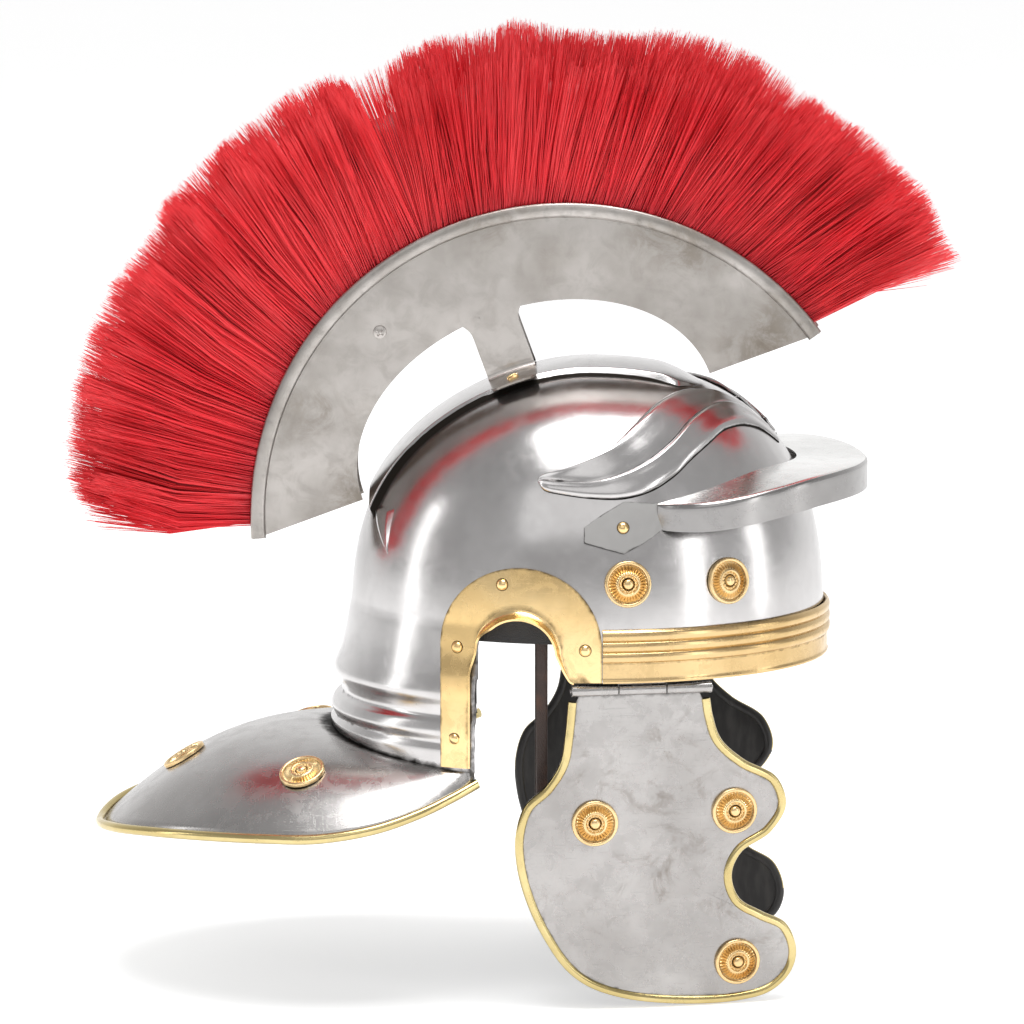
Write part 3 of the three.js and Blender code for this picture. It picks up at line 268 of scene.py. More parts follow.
class Finish:
    """A material with short words for the nodes that its finish needs."""

    def __init__(self, name):
        self.material = bpy.data.materials.new(name)
        self.material.use_nodes = True
        self.tree = self.material.node_tree
        self.shader = self.tree.nodes["Principled BSDF"]
        self.coordinates = self.tree.nodes.new("ShaderNodeTexCoord").outputs["Object"]

    def link(self, output, socket):
        self.tree.links.new(output, socket)

    def stretched(self, scale, turn=(0, 0, 0)):
        mapping = self.tree.nodes.new("ShaderNodeMapping")
        mapping.inputs["Scale"].default_value = scale
        mapping.inputs["Rotation"].default_value = turn
        self.link(self.coordinates, mapping.inputs["Vector"])
        return mapping.outputs["Vector"]

    def noise(self, scale, detail=3, roughness=0.55, distortion=0, vector=None):
        node = self.tree.nodes.new("ShaderNodeTexNoise")
        node.inputs["Scale"].default_value = scale
        node.inputs["Detail"].default_value = detail
        node.inputs["Roughness"].default_value = roughness
        node.inputs["Distortion"].default_value = distortion
        self.link(vector or self.coordinates, node.inputs["Vector"])
        return node.outputs["Fac"]

    def attribute(self, name):
        node = self.tree.nodes.new("ShaderNodeAttribute")
        node.attribute_name = name
        return node.outputs["Fac"]

    def band(self, value, low, high, to_low=0.0, to_high=1.0):
        node = self.tree.nodes.new("ShaderNodeMapRange")
        node.interpolation_type = "SMOOTHSTEP"
        node.inputs["From Min"].default_value = low
        node.inputs["From Max"].default_value = high
        node.inputs["To Min"].default_value = to_low
        node.inputs["To Max"].default_value = to_high
        self.link(value, node.inputs["Value"])
        return node.outputs["Result"]

    def math(self, operation, first, second):
        node = self.tree.nodes.new("ShaderNodeMath")
        node.operation = operation
        for socket, value in zip(node.inputs, (first, second)):
            if isinstance(value, (int, float)):
                socket.default_value = value
            else:
                self.link(value, socket)
        return node.outputs["Value"]

    def mix(self, share, first, second):
        node = self.tree.nodes.new("ShaderNodeMix")
        node.data_type = "RGBA"
        sockets = [s for s in node.inputs if s.type == "RGBA"]
        for socket, value in zip(sockets, (first, second)):
            if isinstance(value, tuple):
                socket.default_value = (*value, 1)
            else:
                self.link(value, socket)
        self.link(share, node.inputs["Factor"])
        return next(s for s in node.outputs if s.type == "RGBA")

    def bump(self, height, distance, strength=1.0, under=None):
        node = self.tree.nodes.new("ShaderNodeBump")
        node.inputs["Strength"].default_value = strength
        node.inputs["Distance"].default_value = distance
        self.link(height, node.inputs["Height"])
        if under is not None:
            self.link(under, node.inputs["Normal"])
        return node.outputs["Normal"]

    def set(self, **values):
        for name, value in values.items():
            socket = self.shader.inputs[name.replace("_", " ")]
            if isinstance(value, (int, float)):
                socket.default_value = value
            else:
                self.link(value, socket)


def worn_metal(name, bright, cloudy, stain_colour, rough, stains=(0.6, 0.75), scratch=0.5, dents=0.0004,
               mottle=0.35, gilding=None):
    """Sheet metal: cloudy patches, brown stains, fine scratches in two directions, soft dents, and painted shade
    in creases and along steps, taken from a per-point attribute.
    """
    finish = Finish(name)
    clouds = finish.band(finish.noise(16, 4, 0.6), 0.35, 0.65)
    fine_clouds = finish.band(finish.noise(90, 5, 0.65, 0.6), 0.4, 0.7)
    spots = finish.band(finish.noise(55, 8, 0.72, 0.8), *stains)
    patches = finish.band(finish.noise(9, 3), 0.45, 0.65)
    spots = finish.math("MULTIPLY", spots, patches)
    grime = finish.math("MULTIPLY", finish.math("SUBTRACT", finish.noise(170, 6, 0.65), 0.5), 0.9)
    # crevice is painted shade where the per-point attribute marks creases, steps and joins, plus real grime from
    # the noise.
    crevice = finish.band(finish.math("ADD", finish.attribute("stain"), grime), 0.25, 0.8)
    scratches = None
    for turn, scale in (((0.3, 0.9, 0.2), (30, 30, 1400)), ((1.1, -0.5, 0.7), (1400, 36, 30))):
        lines = finish.band(finish.noise(2.4, 3, 0.6, vector=finish.stretched(scale, turn)), 0.6, 0.72)
        scratches = lines if scratches is None else finish.math("MAXIMUM", scratches, lines)
    colour = finish.mix(clouds, bright, cloudy)
    colour = finish.mix(finish.math("MULTIPLY", fine_clouds, mottle), colour, cloudy)
    colour = finish.mix(finish.math("MULTIPLY", spots, 0.75), colour, stain_colour)
    if gilding:
        traces = finish.math("ADD", finish.attribute("gilt"), grime)
        colour = finish.mix(finish.band(traces, 0.4, 0.65), colour, gilding)
    # The painted shade goes to near black.
    dark = tuple(0.06 * c for c in stain_colour)
    colour = finish.mix(crevice, colour, dark)
    rough_value = finish.band(fine_clouds, 0, 1, *rough)
    rough_value = finish.math("ADD", rough_value, finish.math("MULTIPLY", scratches, 0.12 * scratch))
    rough_value = finish.math("ADD", rough_value, finish.math("MULTIPLY", spots, 0.2))
    rough_value = finish.math("ADD", rough_value, finish.math("MULTIPLY", crevice, 0.35))
    soft = finish.bump(finish.noise(28, 2), dents, 0.6)
    normal = finish.bump(scratches, 0.00002, scratch, soft)
    finish.set(Base_Color=colour, Metallic=1.0, Roughness=rough_value, Normal=normal)
    return finish.material


# %% [markdown]
# Metals. The bowl is hand-polished sheet steel, bright but full of wipe marks. The crest box is the
# same sheet left dull, with brown finger marks. The brass comes in three tones: sheet for the band
# and the ear trims, a yellower drawn strip for the rolled edges, and a pinker casting for the
# rosettes. One recipe with different numbers makes them all, so they look like one object.

# %% Metal finishes
GILDING = (0.78, 0.5, 0.22)
polished_steel = worn_metal("polished_steel", (0.63, 0.615, 0.61), (0.52, 0.505, 0.5), (0.3, 0.26, 0.22),
                            rough=(0.2, 0.25), stains=(0.64, 0.8), scratch=0.2, mottle=0.12, gilding=GILDING)
neck_steel = worn_metal("neck_steel", (0.5, 0.485, 0.475), (0.4, 0.385, 0.375), (0.24, 0.2, 0.17),
                        rough=(0.24, 0.32), stains=(0.6, 0.78), scratch=0.3, mottle=0.2)
# The peak is one steel strip painted in three tones for the light that falls on it: darkest on the turned-down
# rim, lighter on the plates, brightest on the up-facing shelf.
peak_steel = worn_metal("peak_steel", (0.36, 0.35, 0.345), (0.3, 0.29, 0.285), (0.3, 0.26, 0.22),
                        rough=(0.22, 0.28), stains=(0.62, 0.78), scratch=0.2, mottle=0.15)
shelf_steel = worn_metal("shelf_steel", (0.84, 0.835, 0.82), (0.76, 0.755, 0.74), (0.4, 0.36, 0.32),
                         rough=(0.24, 0.3), stains=(0.66, 0.82), scratch=0.1, mottle=0.1, dents=0.0002)
plate_steel = worn_metal("plate_steel", (0.52, 0.51, 0.5), (0.44, 0.43, 0.42), (0.3, 0.26, 0.22),
                         rough=(0.3, 0.4), stains=(0.62, 0.78), scratch=0.3, mottle=0.2)
guard_steel = worn_metal("guard_steel", (0.44, 0.425, 0.415), (0.34, 0.325, 0.315), (0.2, 0.17, 0.145),
                         rough=(0.22, 0.36), stains=(0.5, 0.7), scratch=0.7, mottle=0.22)
crest_steel = worn_metal("crest_steel", (0.52, 0.49, 0.465), (0.36, 0.335, 0.31), (0.2, 0.165, 0.125),
                         rough=(0.28, 0.44), stains=(0.38, 0.58), scratch=0.7, dents=0.0006, mottle=0.45)
sheet_brass = worn_metal("sheet_brass", (0.95, 0.7, 0.36), (0.84, 0.59, 0.27), (0.3, 0.2, 0.1),
                         rough=(0.2, 0.32), stains=(0.6, 0.75), scratch=0.3, dents=0.0009)
band_brass = worn_metal("band_brass", (0.68, 0.49, 0.25), (0.56, 0.39, 0.18), (0.26, 0.18, 0.1),
                        rough=(0.22, 0.34), stains=(0.56, 0.72), scratch=0.3)
rolled_brass = worn_metal("rolled_brass", (0.68, 0.56, 0.28), (0.54, 0.43, 0.19), (0.24, 0.19, 0.09),
                          rough=(0.17, 0.28), stains=(0.58, 0.72), scratch=0.2)
cast_brass = worn_metal("cast_brass", (0.88, 0.66, 0.36), (0.76, 0.54, 0.27), (0.3, 0.18, 0.09),
                        rough=(0.24, 0.36), stains=(0.64, 0.82), scratch=0.1, dents=0.0001)

# %% [markdown]
# Paint, leather, wood and bristle. The inside of the steel is brushed black. Leather gets a cell
# pattern for its grain, wood gets stretched noise for its fibres, and each bristle carries two
# attributes from Geometry Nodes: how far along it a point lies, and its own tone.

# %% Other finishes


def black_paint_finish():
    finish = Finish("black_paint")
    streaks = finish.noise(3, 4, 0.6, vector=finish.stretched((60, 60, 14)))
    colour = finish.mix(finish.band(streaks, 0.4, 0.7), (0.022, 0.02, 0.019), (0.05, 0.046, 0.043))
    normal = finish.bump(streaks, 0.0002, 0.5)
    roughness = finish.band(streaks, 0.3, 0.7, 0.38, 0.6)
    finish.set(Base_Color=colour, Metallic=0.0, Roughness=roughness, Normal=normal)
    return finish.material


def leather_finish(name, dark, light):
    finish = Finish(name)
    grain = finish.tree.nodes.new("ShaderNodeTexVoronoi")
    grain.feature = "DISTANCE_TO_EDGE"
    grain.inputs["Scale"].default_value = 900
    finish.link(finish.coordinates, grain.inputs["Vector"])
    pores = finish.band(grain.outputs["Distance"], 0, 0.25)
    wear = finish.band(finish.noise(70, 5), 0.45, 0.7)
    colour = finish.mix(wear, dark, light)
    normal = finish.bump(pores, 0.0002, 0.6)
    finish.set(Base_Color=colour, Roughness=finish.band(wear, 0, 1, 0.45, 0.7), Normal=normal)
    return finish.material


def wood_finish():
    finish = Finish("core_wood")
    fibres = finish.noise(3, 5, 0.6, vector=finish.stretched((40, 260, 160)))
    colour = finish.mix(finish.band(fibres, 0.35, 0.65), (0.07, 0.045, 0.03), (0.16, 0.1, 0.065))
    finish.set(Base_Color=colour, Roughness=0.75, Normal=finish.bump(fibres, 0.0004, 0.6))
    return finish.material


def bristle_finish():
    finish = Finish("red_bristle")
    tone = finish.attribute("tone")
    along = finish.attribute("along")
    lock = finish.attribute("lock")
    colour = finish.mix(tone, (0.74, 0.014, 0.024), (0.96, 0.03, 0.045))
    colour = finish.mix(finish.band(lock, 0.35, 0.65, 0.0, 0.55), colour, (1.0, 0.065, 0.075))
    # Painted shade: darker towards the root, deep in the brush. Painted light: lighter towards the tip.
    root = finish.band(along, 0.0, 0.3, 0.65, 0.0)
    colour = finish.mix(root, colour, (0.36, 0.005, 0.014))
    tip = finish.band(along, 0.8, 1.0, 0.0, 0.3)
    colour = finish.mix(tip, colour, (1.0, 0.11, 0.12))
    finish.set(Base_Color=colour, Roughness=0.42)
    finish.shader.inputs["Specular IOR Level"].default_value = 0.45
    return finish.material


black_paint = black_paint_finish()
black_leather = leather_finish("black_leather", (0.012, 0.011, 0.011), (0.035, 0.031, 0.028))
brown_leather = leather_finish("brown_leather", (0.035, 0.017, 0.011), (0.09, 0.045, 0.03))
core_wood = wood_finish()
red_bristle = bristle_finish()

# %% [markdown]
# The bowl is not round: its front, sides and back each follow their own power curve, as a sheet
# that was raised by hammer and fitted to a head. One function gives any point of its outside, and
# every trim below is drawn with it, so brass and steel share one surface.

# %% Shape of the bowl
BOWL_X = 3.5
BOWL_FRONT = 116.3
BOWL_SIDE = 98.0
BOWL_REAR = 116.0
BOWL_HEIGHT = 140.5
FRONT_POWER = 2.4
SIDE_POWER = 2.1
REAR_POWER = 1.7
STEEL = 1.3
GAP = 0.35
BOWL_MIDDLE = (3.5, 0, 45)
NAPE_START = math.radians(117.5)
NAPE_SHARE_AT_EAR = 0.35
NAPE_ROWS = np.array([
    (26, 26, 0), (9, 9, 2.9), (0, 0, 5.2), (-9, -9, 8.2), (-15, -14.5, 5.4), (-19.5, -19.5, 4.6),
    (-22.5, -22.5, 8), (-27, -27, 9.8), (-30.5, -32, 8.2), (-33, -36, 9.8), (-36, -45.5, 9.4),
])


def ring_size(z):
    rest = 1 - np.clip(z, 0, BOWL_HEIGHT - 1e-3) ** 3 / BOWL_HEIGHT**3
    front = BOWL_FRONT * rest ** (1 / FRONT_POWER)
    side = BOWL_SIDE * rest ** (1 / SIDE_POWER)
    rear = BOWL_REAR * rest ** (1 / REAR_POWER)
    return front, side, rear


def bowl_point(angle, z, out=0.0):
    front, side, rear = ring_size(z)
    length = np.where(np.cos(angle) > 0, front, rear)
    return stack(BOWL_X + (length + out) * np.cos(angle), (side + out) * np.sin(angle), z)


def nape_way(angle):
    return np.clip((np.abs(angle) - NAPE_START) / (math.pi - NAPE_START), 0, 1)


def nape_share(angle):
    behind = lerp(NAPE_SHARE_AT_EAR, 1, np.sin(nape_way(angle) * math.pi / 2))
    beside = NAPE_SHARE_AT_EAR * smoothstep(np.abs(angle), math.pi / 2, NAPE_START)
    return np.where(np.abs(angle) >= NAPE_START, behind, beside)


def nape_out(angle, z):
    angle, z = np.broadcast_arrays(np.asarray(angle, float), np.asarray(z, float))
    result = np.zeros(angle.shape)
    for index in np.ndindex(angle.shape):
        heights = lerp(NAPE_ROWS[:, 1], NAPE_ROWS[:, 0], nape_way(angle[index]))
        result[index] = np.interp(z[index], heights[::-1], NAPE_ROWS[::-1, 2])
    return result * nape_share(angle)


def angle_at(x, z, out=0.0):
    front, _, rear = ring_size(z)
    length = np.where(x > BOWL_X, front, rear) + out
    return np.arccos(np.clip((x - BOWL_X) / length, -1, 1))


def side_point(x, z, over=0.0):
    out = np.asarray(over, float)
    for _ in range(4):
        out = over + nape_out(angle_at(x, z, out), z)
    return bowl_point(angle_at(x, z, out), z, out)


def side_normal(x, z):
    step = 1.0
    along = side_point(x + step, z) - side_point(x - step, z)
    up = side_point(x, z + step) - side_point(x, z - step)
    normal = unit(np.cross(along, up))
    return normal if normal[1] > 0 else -normal


def top_height(x, y):
    low = np.zeros(np.broadcast(x, y).shape)
    high = low + BOWL_HEIGHT
    for _ in range(36):
        middle = (low + high) / 2
        front, side, rear = ring_size(middle)
        length = np.where(x > BOWL_X, front, rear)
        inside = ((x - BOWL_X) / length) ** 2 + (y / side) ** 2 < 1
        low = np.where(inside, middle, low)
        high = np.where(inside, high, middle)
    return low


# %% [markdown]
# Neck guard. The sheet turns out of the nape in two hammered ribs and spreads into a broad, slightly
# domed shelf. Its edge is one smooth curve, and the shelf is stretched between the crease and it.

# %% Shape of the nape and the neck guard
NECK_EDGE = np.array([
    (-51, 88, -49.5), (-63.5, 95, -55.3), (-80, 102.5, -62), (-100, 107, -68.2), (-126, 106, -72.8),
    (-152, 98.5, -74.2), (-178, 85.5, -75.7), (-205, 64, -78.2), (-226, 35, -82), (-234, 0, -85.5),
])
NECK_BULGE = 0.48
neck_edge = SmoothCurve(np.concatenate([NECK_EDGE, (NECK_EDGE[:-1] * (1, -1, 1))[::-1]]))


def neck_point(angle, step):
    angle, step = np.broadcast_arrays(np.asarray(angle, float), np.asarray(step, float))
    way = nape_way(angle)
    side = np.where(angle < 0, -1.0, 1.0)
    back_z, side_z, out = NAPE_ROWS[-1]
    start = bowl_point(np.abs(angle), lerp(side_z, back_z, way), out * nape_share(angle))
    edge = neck_edge.at(way.ravel() / 2).reshape(*way.shape, 3)
    reach = np.linalg.norm(edge - start, axis=-1)
    point = start + (edge - start) * step[..., None]
    point[..., 2] += NECK_BULGE * reach * step * (1 - step)
    point[..., 1] *= side
    return point


def nape_grid(angles, rows_per_step=5):
    count = len(NAPE_ROWS)
    rows = SmoothCurve(NAPE_ROWS).at(np.linspace(0, 1, (count - 1) * rows_per_step + 1))
    way = nape_way(angles)[None, :]
    z = lerp(rows[:, 1:2], rows[:, 0:1], way)
    return bowl_point(angles[None, :], z, rows[:, 2:3] * nape_share(angles)[None, :])


# %% [markdown]
# Bowl. Columns run round the head and rows from the crown to the hem. The ear openings are cut by
# snapping the nearest points to the outline of the opening and dropping the faces inside it, and
# Solidify then gives the sheet its gauge, with the black paint on its inner face.

# %% Bowl sheet
EAR_X = -30.5
EAR_Z = 14.5
EAR_RADIUS = 20.5
SKIN_STEP = 2.2


def ear_depth(x, z):
    """How far inside the ear opening a side point lies, in millimetres."""
    arch = EAR_RADIUS - 0.5 - np.hypot(x - EAR_X - 0.5, z - EAR_Z)
    front = np.interp(z, (-0.5, 8, 14.5), (-4, -9.5, -10.0))
    below = np.minimum(np.minimum(x + 50, front - x), EAR_Z - z + 0.01)
    return np.where(z > EAR_Z, arch, np.maximum(below, np.where(z > EAR_Z - 1, arch, -99)))


def bowl_columns():
    front = np.linspace(0, NAPE_START, int(222 / SKIN_STEP))
    back = np.linspace(NAPE_START, math.pi, int(140 / SKIN_STEP))[1:]
    half = np.concatenate([front, back])
    return np.concatenate([half, -half[1:-1][::-1]])


def bowl_heights():
    fine = BOWL_HEIGHT * np.sin(np.linspace(math.pi / 2, 0.04, 4000)) ** (2 / 3)
    profile = np.stack([ring_size(fine)[1], fine], -1)
    steps = np.linalg.norm(np.diff(profile, axis=0), axis=1)
    count = np.concatenate([[0], np.cumsum(steps / SKIN_STEP)])
    heights = np.interp(np.arange(1, count[-1]), count, fine)
    return heights[heights > NAPE_ROWS[0, 0] + 1.5]


columns = bowl_columns()
heights = bowl_heights()
dome = bowl_point(columns[None, :], heights[:, None])
nape = nape_grid(columns)
guard_steps = np.linspace(0, 1, 27)[1:]
guard = neck_point(columns[None, :], guard_steps[:, None])
skin = np.concatenate([dome, nape, guard])
rows_with_hem = len(dome) + 2 * 5 + 1
flat_skin = skin.reshape(-1, 3)
print("bowl sheet:", skin.shape[0], "rows by", skin.shape[1], "columns")

# %% Ear openings and thickness


def snap_to_ear(points):
    """Moves points beside the outline of the ear opening onto it, along the bowl."""
    x, z = points[:, 0], points[:, 2]
    near = np.nonzero((np.abs(ear_depth(x, z)) < 1.9) & (z > -0.4) & (z < 40) & (x < 0) & (x > -49.5))[0]
    for i in near:
        px, pz = x[i], z[i]
        for _ in range(6):
            depth = float(ear_depth(px, pz))
            slope = np.array([
                float(ear_depth(px + 0.2, pz) - ear_depth(px - 0.2, pz)),
                float(ear_depth(px, pz + 0.2) - ear_depth(px, pz - 0.2)),
            ]) / 0.4
            length = max(np.dot(slope, slope), 0.2)
            px, pz = px - depth * slope[0] / length, pz - depth * slope[1] / length
        snapped = side_point(px, pz)
        points[i] = snapped * (1, np.sign(points[i, 1]), 1)


near_ear = (np.abs(flat_skin[:, 0] - EAR_X) < 25) & (flat_skin[:, 2] < 40) & (flat_skin[:, 2] > -0.6)
picked = flat_skin[near_ear]
snap_to_ear(picked)
flat_skin[near_ear] = picked

count = len(columns)
quads = grid_quads(len(skin), count, wrap=True)
rows_of = np.arange(len(quads)) // count
columns_of = np.arange(len(quads)) % count
next_angle = columns[(columns_of + 1) % count]
behind_ear = (np.abs(columns[columns_of]) >= NAPE_START - 1e-6) & (np.abs(next_angle) >= NAPE_START - 1e-6)
centres = flat_skin[quads].mean(axis=1)
in_opening = (ear_depth(centres[:, 0], centres[:, 2]) > 0.1) & (centres[:, 2] < 40) & (centres[:, 2] > -1)
kept = ((rows_of < rows_with_hem - 1) | behind_ear) & ~(in_opening & ~behind_ear)
crown = np.array([[BOWL_X, 0, BOWL_HEIGHT]])
crown_faces = [[len(flat_skin), i, (i + 1) % count] for i in range(count)]
used_faces = quads[kept].tolist() + crown_faces
used = np.unique(np.concatenate([np.ravel(face) for face in used_faces]))
renumber = {int(old): new for new, old in enumerate(used)}
sheet_points = np.concatenate([flat_skin, crown])[used]
sheet_faces = [[renumber[int(i)] for i in face] for face in used_faces]
# Painted shade: the grooves between the nape ribs, and most of all the crease above the neck guard, are darkened.
nape_crease_shade = np.zeros(skin.shape[:2])
NAPE_CREASE_ROW = 10
for row, strength in ((4, 0.35), (5, 0.4), (8, 0.5), (NAPE_CREASE_ROW, 0.95)):
    centre_row = len(dome) + row * 5
    spread = np.exp(-(((np.arange(len(skin)) - centre_row) / 1.6) ** 2))
    nape_crease_shade = np.maximum(nape_crease_shade, strength * spread[:, None] * nape_share(columns)[None, :] ** 0.5)
# The strip of bowl between the ear opening and the rear leg of the trim is made darker as well.
behind_trim = (np.abs(flat_skin[:, 0] + 52) < 2.6) & (flat_skin[:, 2] < 24)
stain = np.append(np.maximum(nape_crease_shade.ravel(), 0.55 * behind_trim), 0)[used]


def applied(piece):
    """Applies the modifiers of a piece and returns it with a plain mesh."""
    graph = bpy.context.evaluated_depsgraph_get()
    finished = piece.evaluated_get(graph)
    mesh = bpy.data.meshes.new_from_object(finished, preserve_all_data_layers=True, depsgraph=graph)
    piece.modifiers.clear()
    old = piece.data
    piece.data = mesh
    mesh.name = piece.name
    bpy.data.meshes.remove(old)
    return piece


def looks_outward(mesh_points, face):
    a, b, c = (mesh_points[corner] for corner in face[:3])
    return np.dot(np.cross(b - a, c - a), (a + b + c) / 3 - np.asarray(BOWL_MIDDLE)) > 0


if not looks_outward(sheet_points, sheet_faces[0]):
    sheet_faces[:-count] = [face[::-1] for face in sheet_faces[:-count]]
if not looks_outward(sheet_points, sheet_faces[-1]):
    sheet_faces[-count:] = [face[::-1] for face in sheet_faces[-count:]]
guard_start = len(dome) + NAPE_CREASE_ROW * 5
bowl_slots = np.append(rows_of[kept] >= guard_start, np.zeros(count, bool)).astype(int)
bowl = make_piece("steel_bowl", sheet_points, sheet_faces, [polished_steel, neck_steel, black_paint],
                  slots=bowl_slots, stain=stain)
thicken = bowl.modifiers.new("gauge", "SOLIDIFY")
thicken.thickness = STEEL * MM
thicken.offset = -1
thicken.material_offset = 2
thicken.use_rim = True
applied(bowl)
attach(bowl, "helmet")
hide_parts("bowl")
print("bowl:", len(bowl.data.polygons), "faces")

# %% [markdown]
# Ridge. The strip over the middle of the skull stands a few millimetres proud, with a steep step on either side,
# and the dark line along each step is painted shade. It is drawn on its own grid, square to the step, because the
# polar grid of the bowl would cross the step at a slant and make it ragged.

# %% Ridge over the crown
RIDGE_HALF_WIDTH = 26
RIDGE_HEIGHT = 3.4
RIDGE_FRONT_X = 61
RIDGE_BACK_X = -101
RIDGE_STEP_START = 0.86
# Corners of the tail beside the ridge's rear end: degrees round the bowl and height
TAIL_LEFT = (152.5, 77)
TAIL_RIGHT = (168, 74)
TAIL_TIP = (149.8, 54)
TAIL_RISE = 1.3


RIDGE_STEPS = [
    -1, -0.985, -0.97, -0.95, -0.93, -0.91, -0.89, -0.875, -0.862, -0.855, -0.83, -0.7, -0.5, -0.25,
]


def ridge_strip():
    turn = np.cos(np.linspace(0, 1, 150) * math.pi)
    x = (RIDGE_FRONT_X + RIDGE_BACK_X) / 2 + (RIDGE_FRONT_X - RIDGE_BACK_X) / 2 * turn
    taper = np.minimum(1, np.sqrt(np.maximum(RIDGE_FRONT_X - x, 0.4) / 14))
    steps = np.array(RIDGE_STEPS)
    across = np.concatenate([steps, [0], -steps[::-1]])
    y = across[None, :] * RIDGE_HALF_WIDTH * taper[:, None]
    xs = np.broadcast_to(x[:, None], y.shape)
    place = stack(xs, y, top_height(xs, y))
    normal = grid_normals(place, away_from=(3.5, 0, 0))
    step_start = np.interp(x, (RIDGE_BACK_X, -60, -20, RIDGE_FRONT_X), (0.88, 0.895, 0.93, 0.955))
    rise = 1 - np.clip((np.abs(across)[None, :] - RIDGE_STEP_START) / (1 - RIDGE_STEP_START), 0, 1)
    ends = smoothstep(x - RIDGE_BACK_X, 0, 1.2) * smoothstep(RIDGE_FRONT_X - x, 0, 24)
    height = -0.2 + (RIDGE_HEIGHT + 0.2) * rise * ends[:, None]
    top = place + normal * height[..., None]
    points, faces, _ = wall_mesh(top, 0.9, away_from=(3.5, 0, 0))
    stain = np.zeros(len(points))
    # Painted shade: a dark band on each step's wall.
    edge = smoothstep(np.abs(across)[None, :], step_start[:, None] - 0.003, step_start[:, None] + 0.006)
    stain[: top.shape[0] * top.shape[1]] = edge.ravel()
    return points, faces, stain


def ridge_tail():
    """A small raised tongue beside the rear end of the ridge, running down to a point."""
    rows, across = np.linspace(0, 1, 40), np.linspace(0, 1, 17)
    left, right, tip = np.array(TAIL_LEFT), np.array(TAIL_RIGHT), np.array(TAIL_TIP)
    row, column = np.meshgrid(rows, across, indexing="ij")
    place = lerp(lerp(left, right, column[..., None]), tip, row[..., None] ** 0.9)
    rise = np.clip(np.minimum(column, 1 - column) / 0.25, 0, 1) * smoothstep(row, 0, 0.12) * (1 - 0.8 * row)
    surface = bowl_point(np.radians(place[..., 0]), place[..., 1], 0.0)
    grid = surface + unit(surface - np.array(BOWL_MIDDLE)) * (TAIL_RISE * rise - 0.1)[..., None]
    points, faces, _ = wall_mesh(grid, 0.6, away_from=BOWL_MIDDLE)
    stain = np.zeros(len(points))
    # Painted shade: a dark line along the tongue's inner edge and a faint one along its outer edge.
    inner_edge = np.exp(-((column - 1) / 0.13) ** 2)
    outer_edge = 0.25 * np.exp(-(column / 0.08) ** 2)
    stain[: row.size] = np.maximum(inner_edge, outer_edge).ravel()
    return points, faces, stain


ridge_points, ridge_faces, ridge_step_shade = ridge_strip()
tail_points, tail_faces, tail_edge_shade = ridge_tail()
tail = (tail_points, tail_faces)
ridge = make_piece("bowl_ridge", *joined([(ridge_points, ridge_faces), tail, mirrored(*tail)]), [polished_steel],
                   stain=np.concatenate([ridge_step_shade, tail_edge_shade, tail_edge_shade]), sharp=30)
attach(ridge, "helmet")
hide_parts("bowl")
print("ridge:", len(ridge.data.polygons), "faces")

# %% [markdown]
# Embossed brows. A smith punches the brows into the sheet from inside: two long leaves that lie over
# each other like feathers, each with a raised upper edge. Here one patch per side is drawn between
# the upper, middle and lower line of the brow, with rows close together at each step, so the
# creases stay as crisp as a punch leaves them.

# %% Embossed brows
BROW_LINES = [
    [
        (105, 95.3), (104.7, 96.4), (97.8, 100.1), (83, 110), (74.5, 118.5), (63, 126), (50, 129.5),
        (36, 130), (20, 127.5), (9, 123),
    ],
    [
        (105, 94.6), (103, 94.3), (99.4, 94), (88.7, 94.5), (80.5, 98), (71.9, 104), (64.6, 110),
        (52.3, 119), (36.8, 123.5), (20.4, 122.5), (9, 112),
    ],
    [
        (105, 94), (104.4, 92.8), (102.6, 90.2), (97.1, 88.4), (87.2, 86.6), (80.9, 86.6), (73.6, 89.5),
        (66.3, 95.3), (58.4, 103), (49.6, 109), (39.9, 113.5), (26.8, 114), (17, 110.5), (9, 103),
    ],
]
# Place across the brow (0 upper line, 1 middle line, 2 lower line) and share of the full height
BROW_PROFILE = np.array([
    (-0.05, -0.15), (-0.01, -0.02), (0.0, 0.06), (0.015, 0.25), (0.03, 0.5), (0.07, 0.88), (0.12, 1.0),
    (0.18, 1.0), (0.3, 0.84), (0.45, 0.7), (0.6, 0.6), (0.75, 0.48), (0.88, 0.32), (0.96, 0.2), (1.0, 0.18),
    (1.02, 0.42), (1.06, 0.92), (1.12, 1.1), (1.18, 1.08), (1.3, 0.92), (1.45, 0.82), (1.6, 0.78), (1.75, 0.74),
    (1.87, 0.6), (1.95, 0.34), (1.98, 0.16), (2.0, 0.05), (2.01, -0.02), (2.04, -0.15),
])
BROW_RISE = 3.2


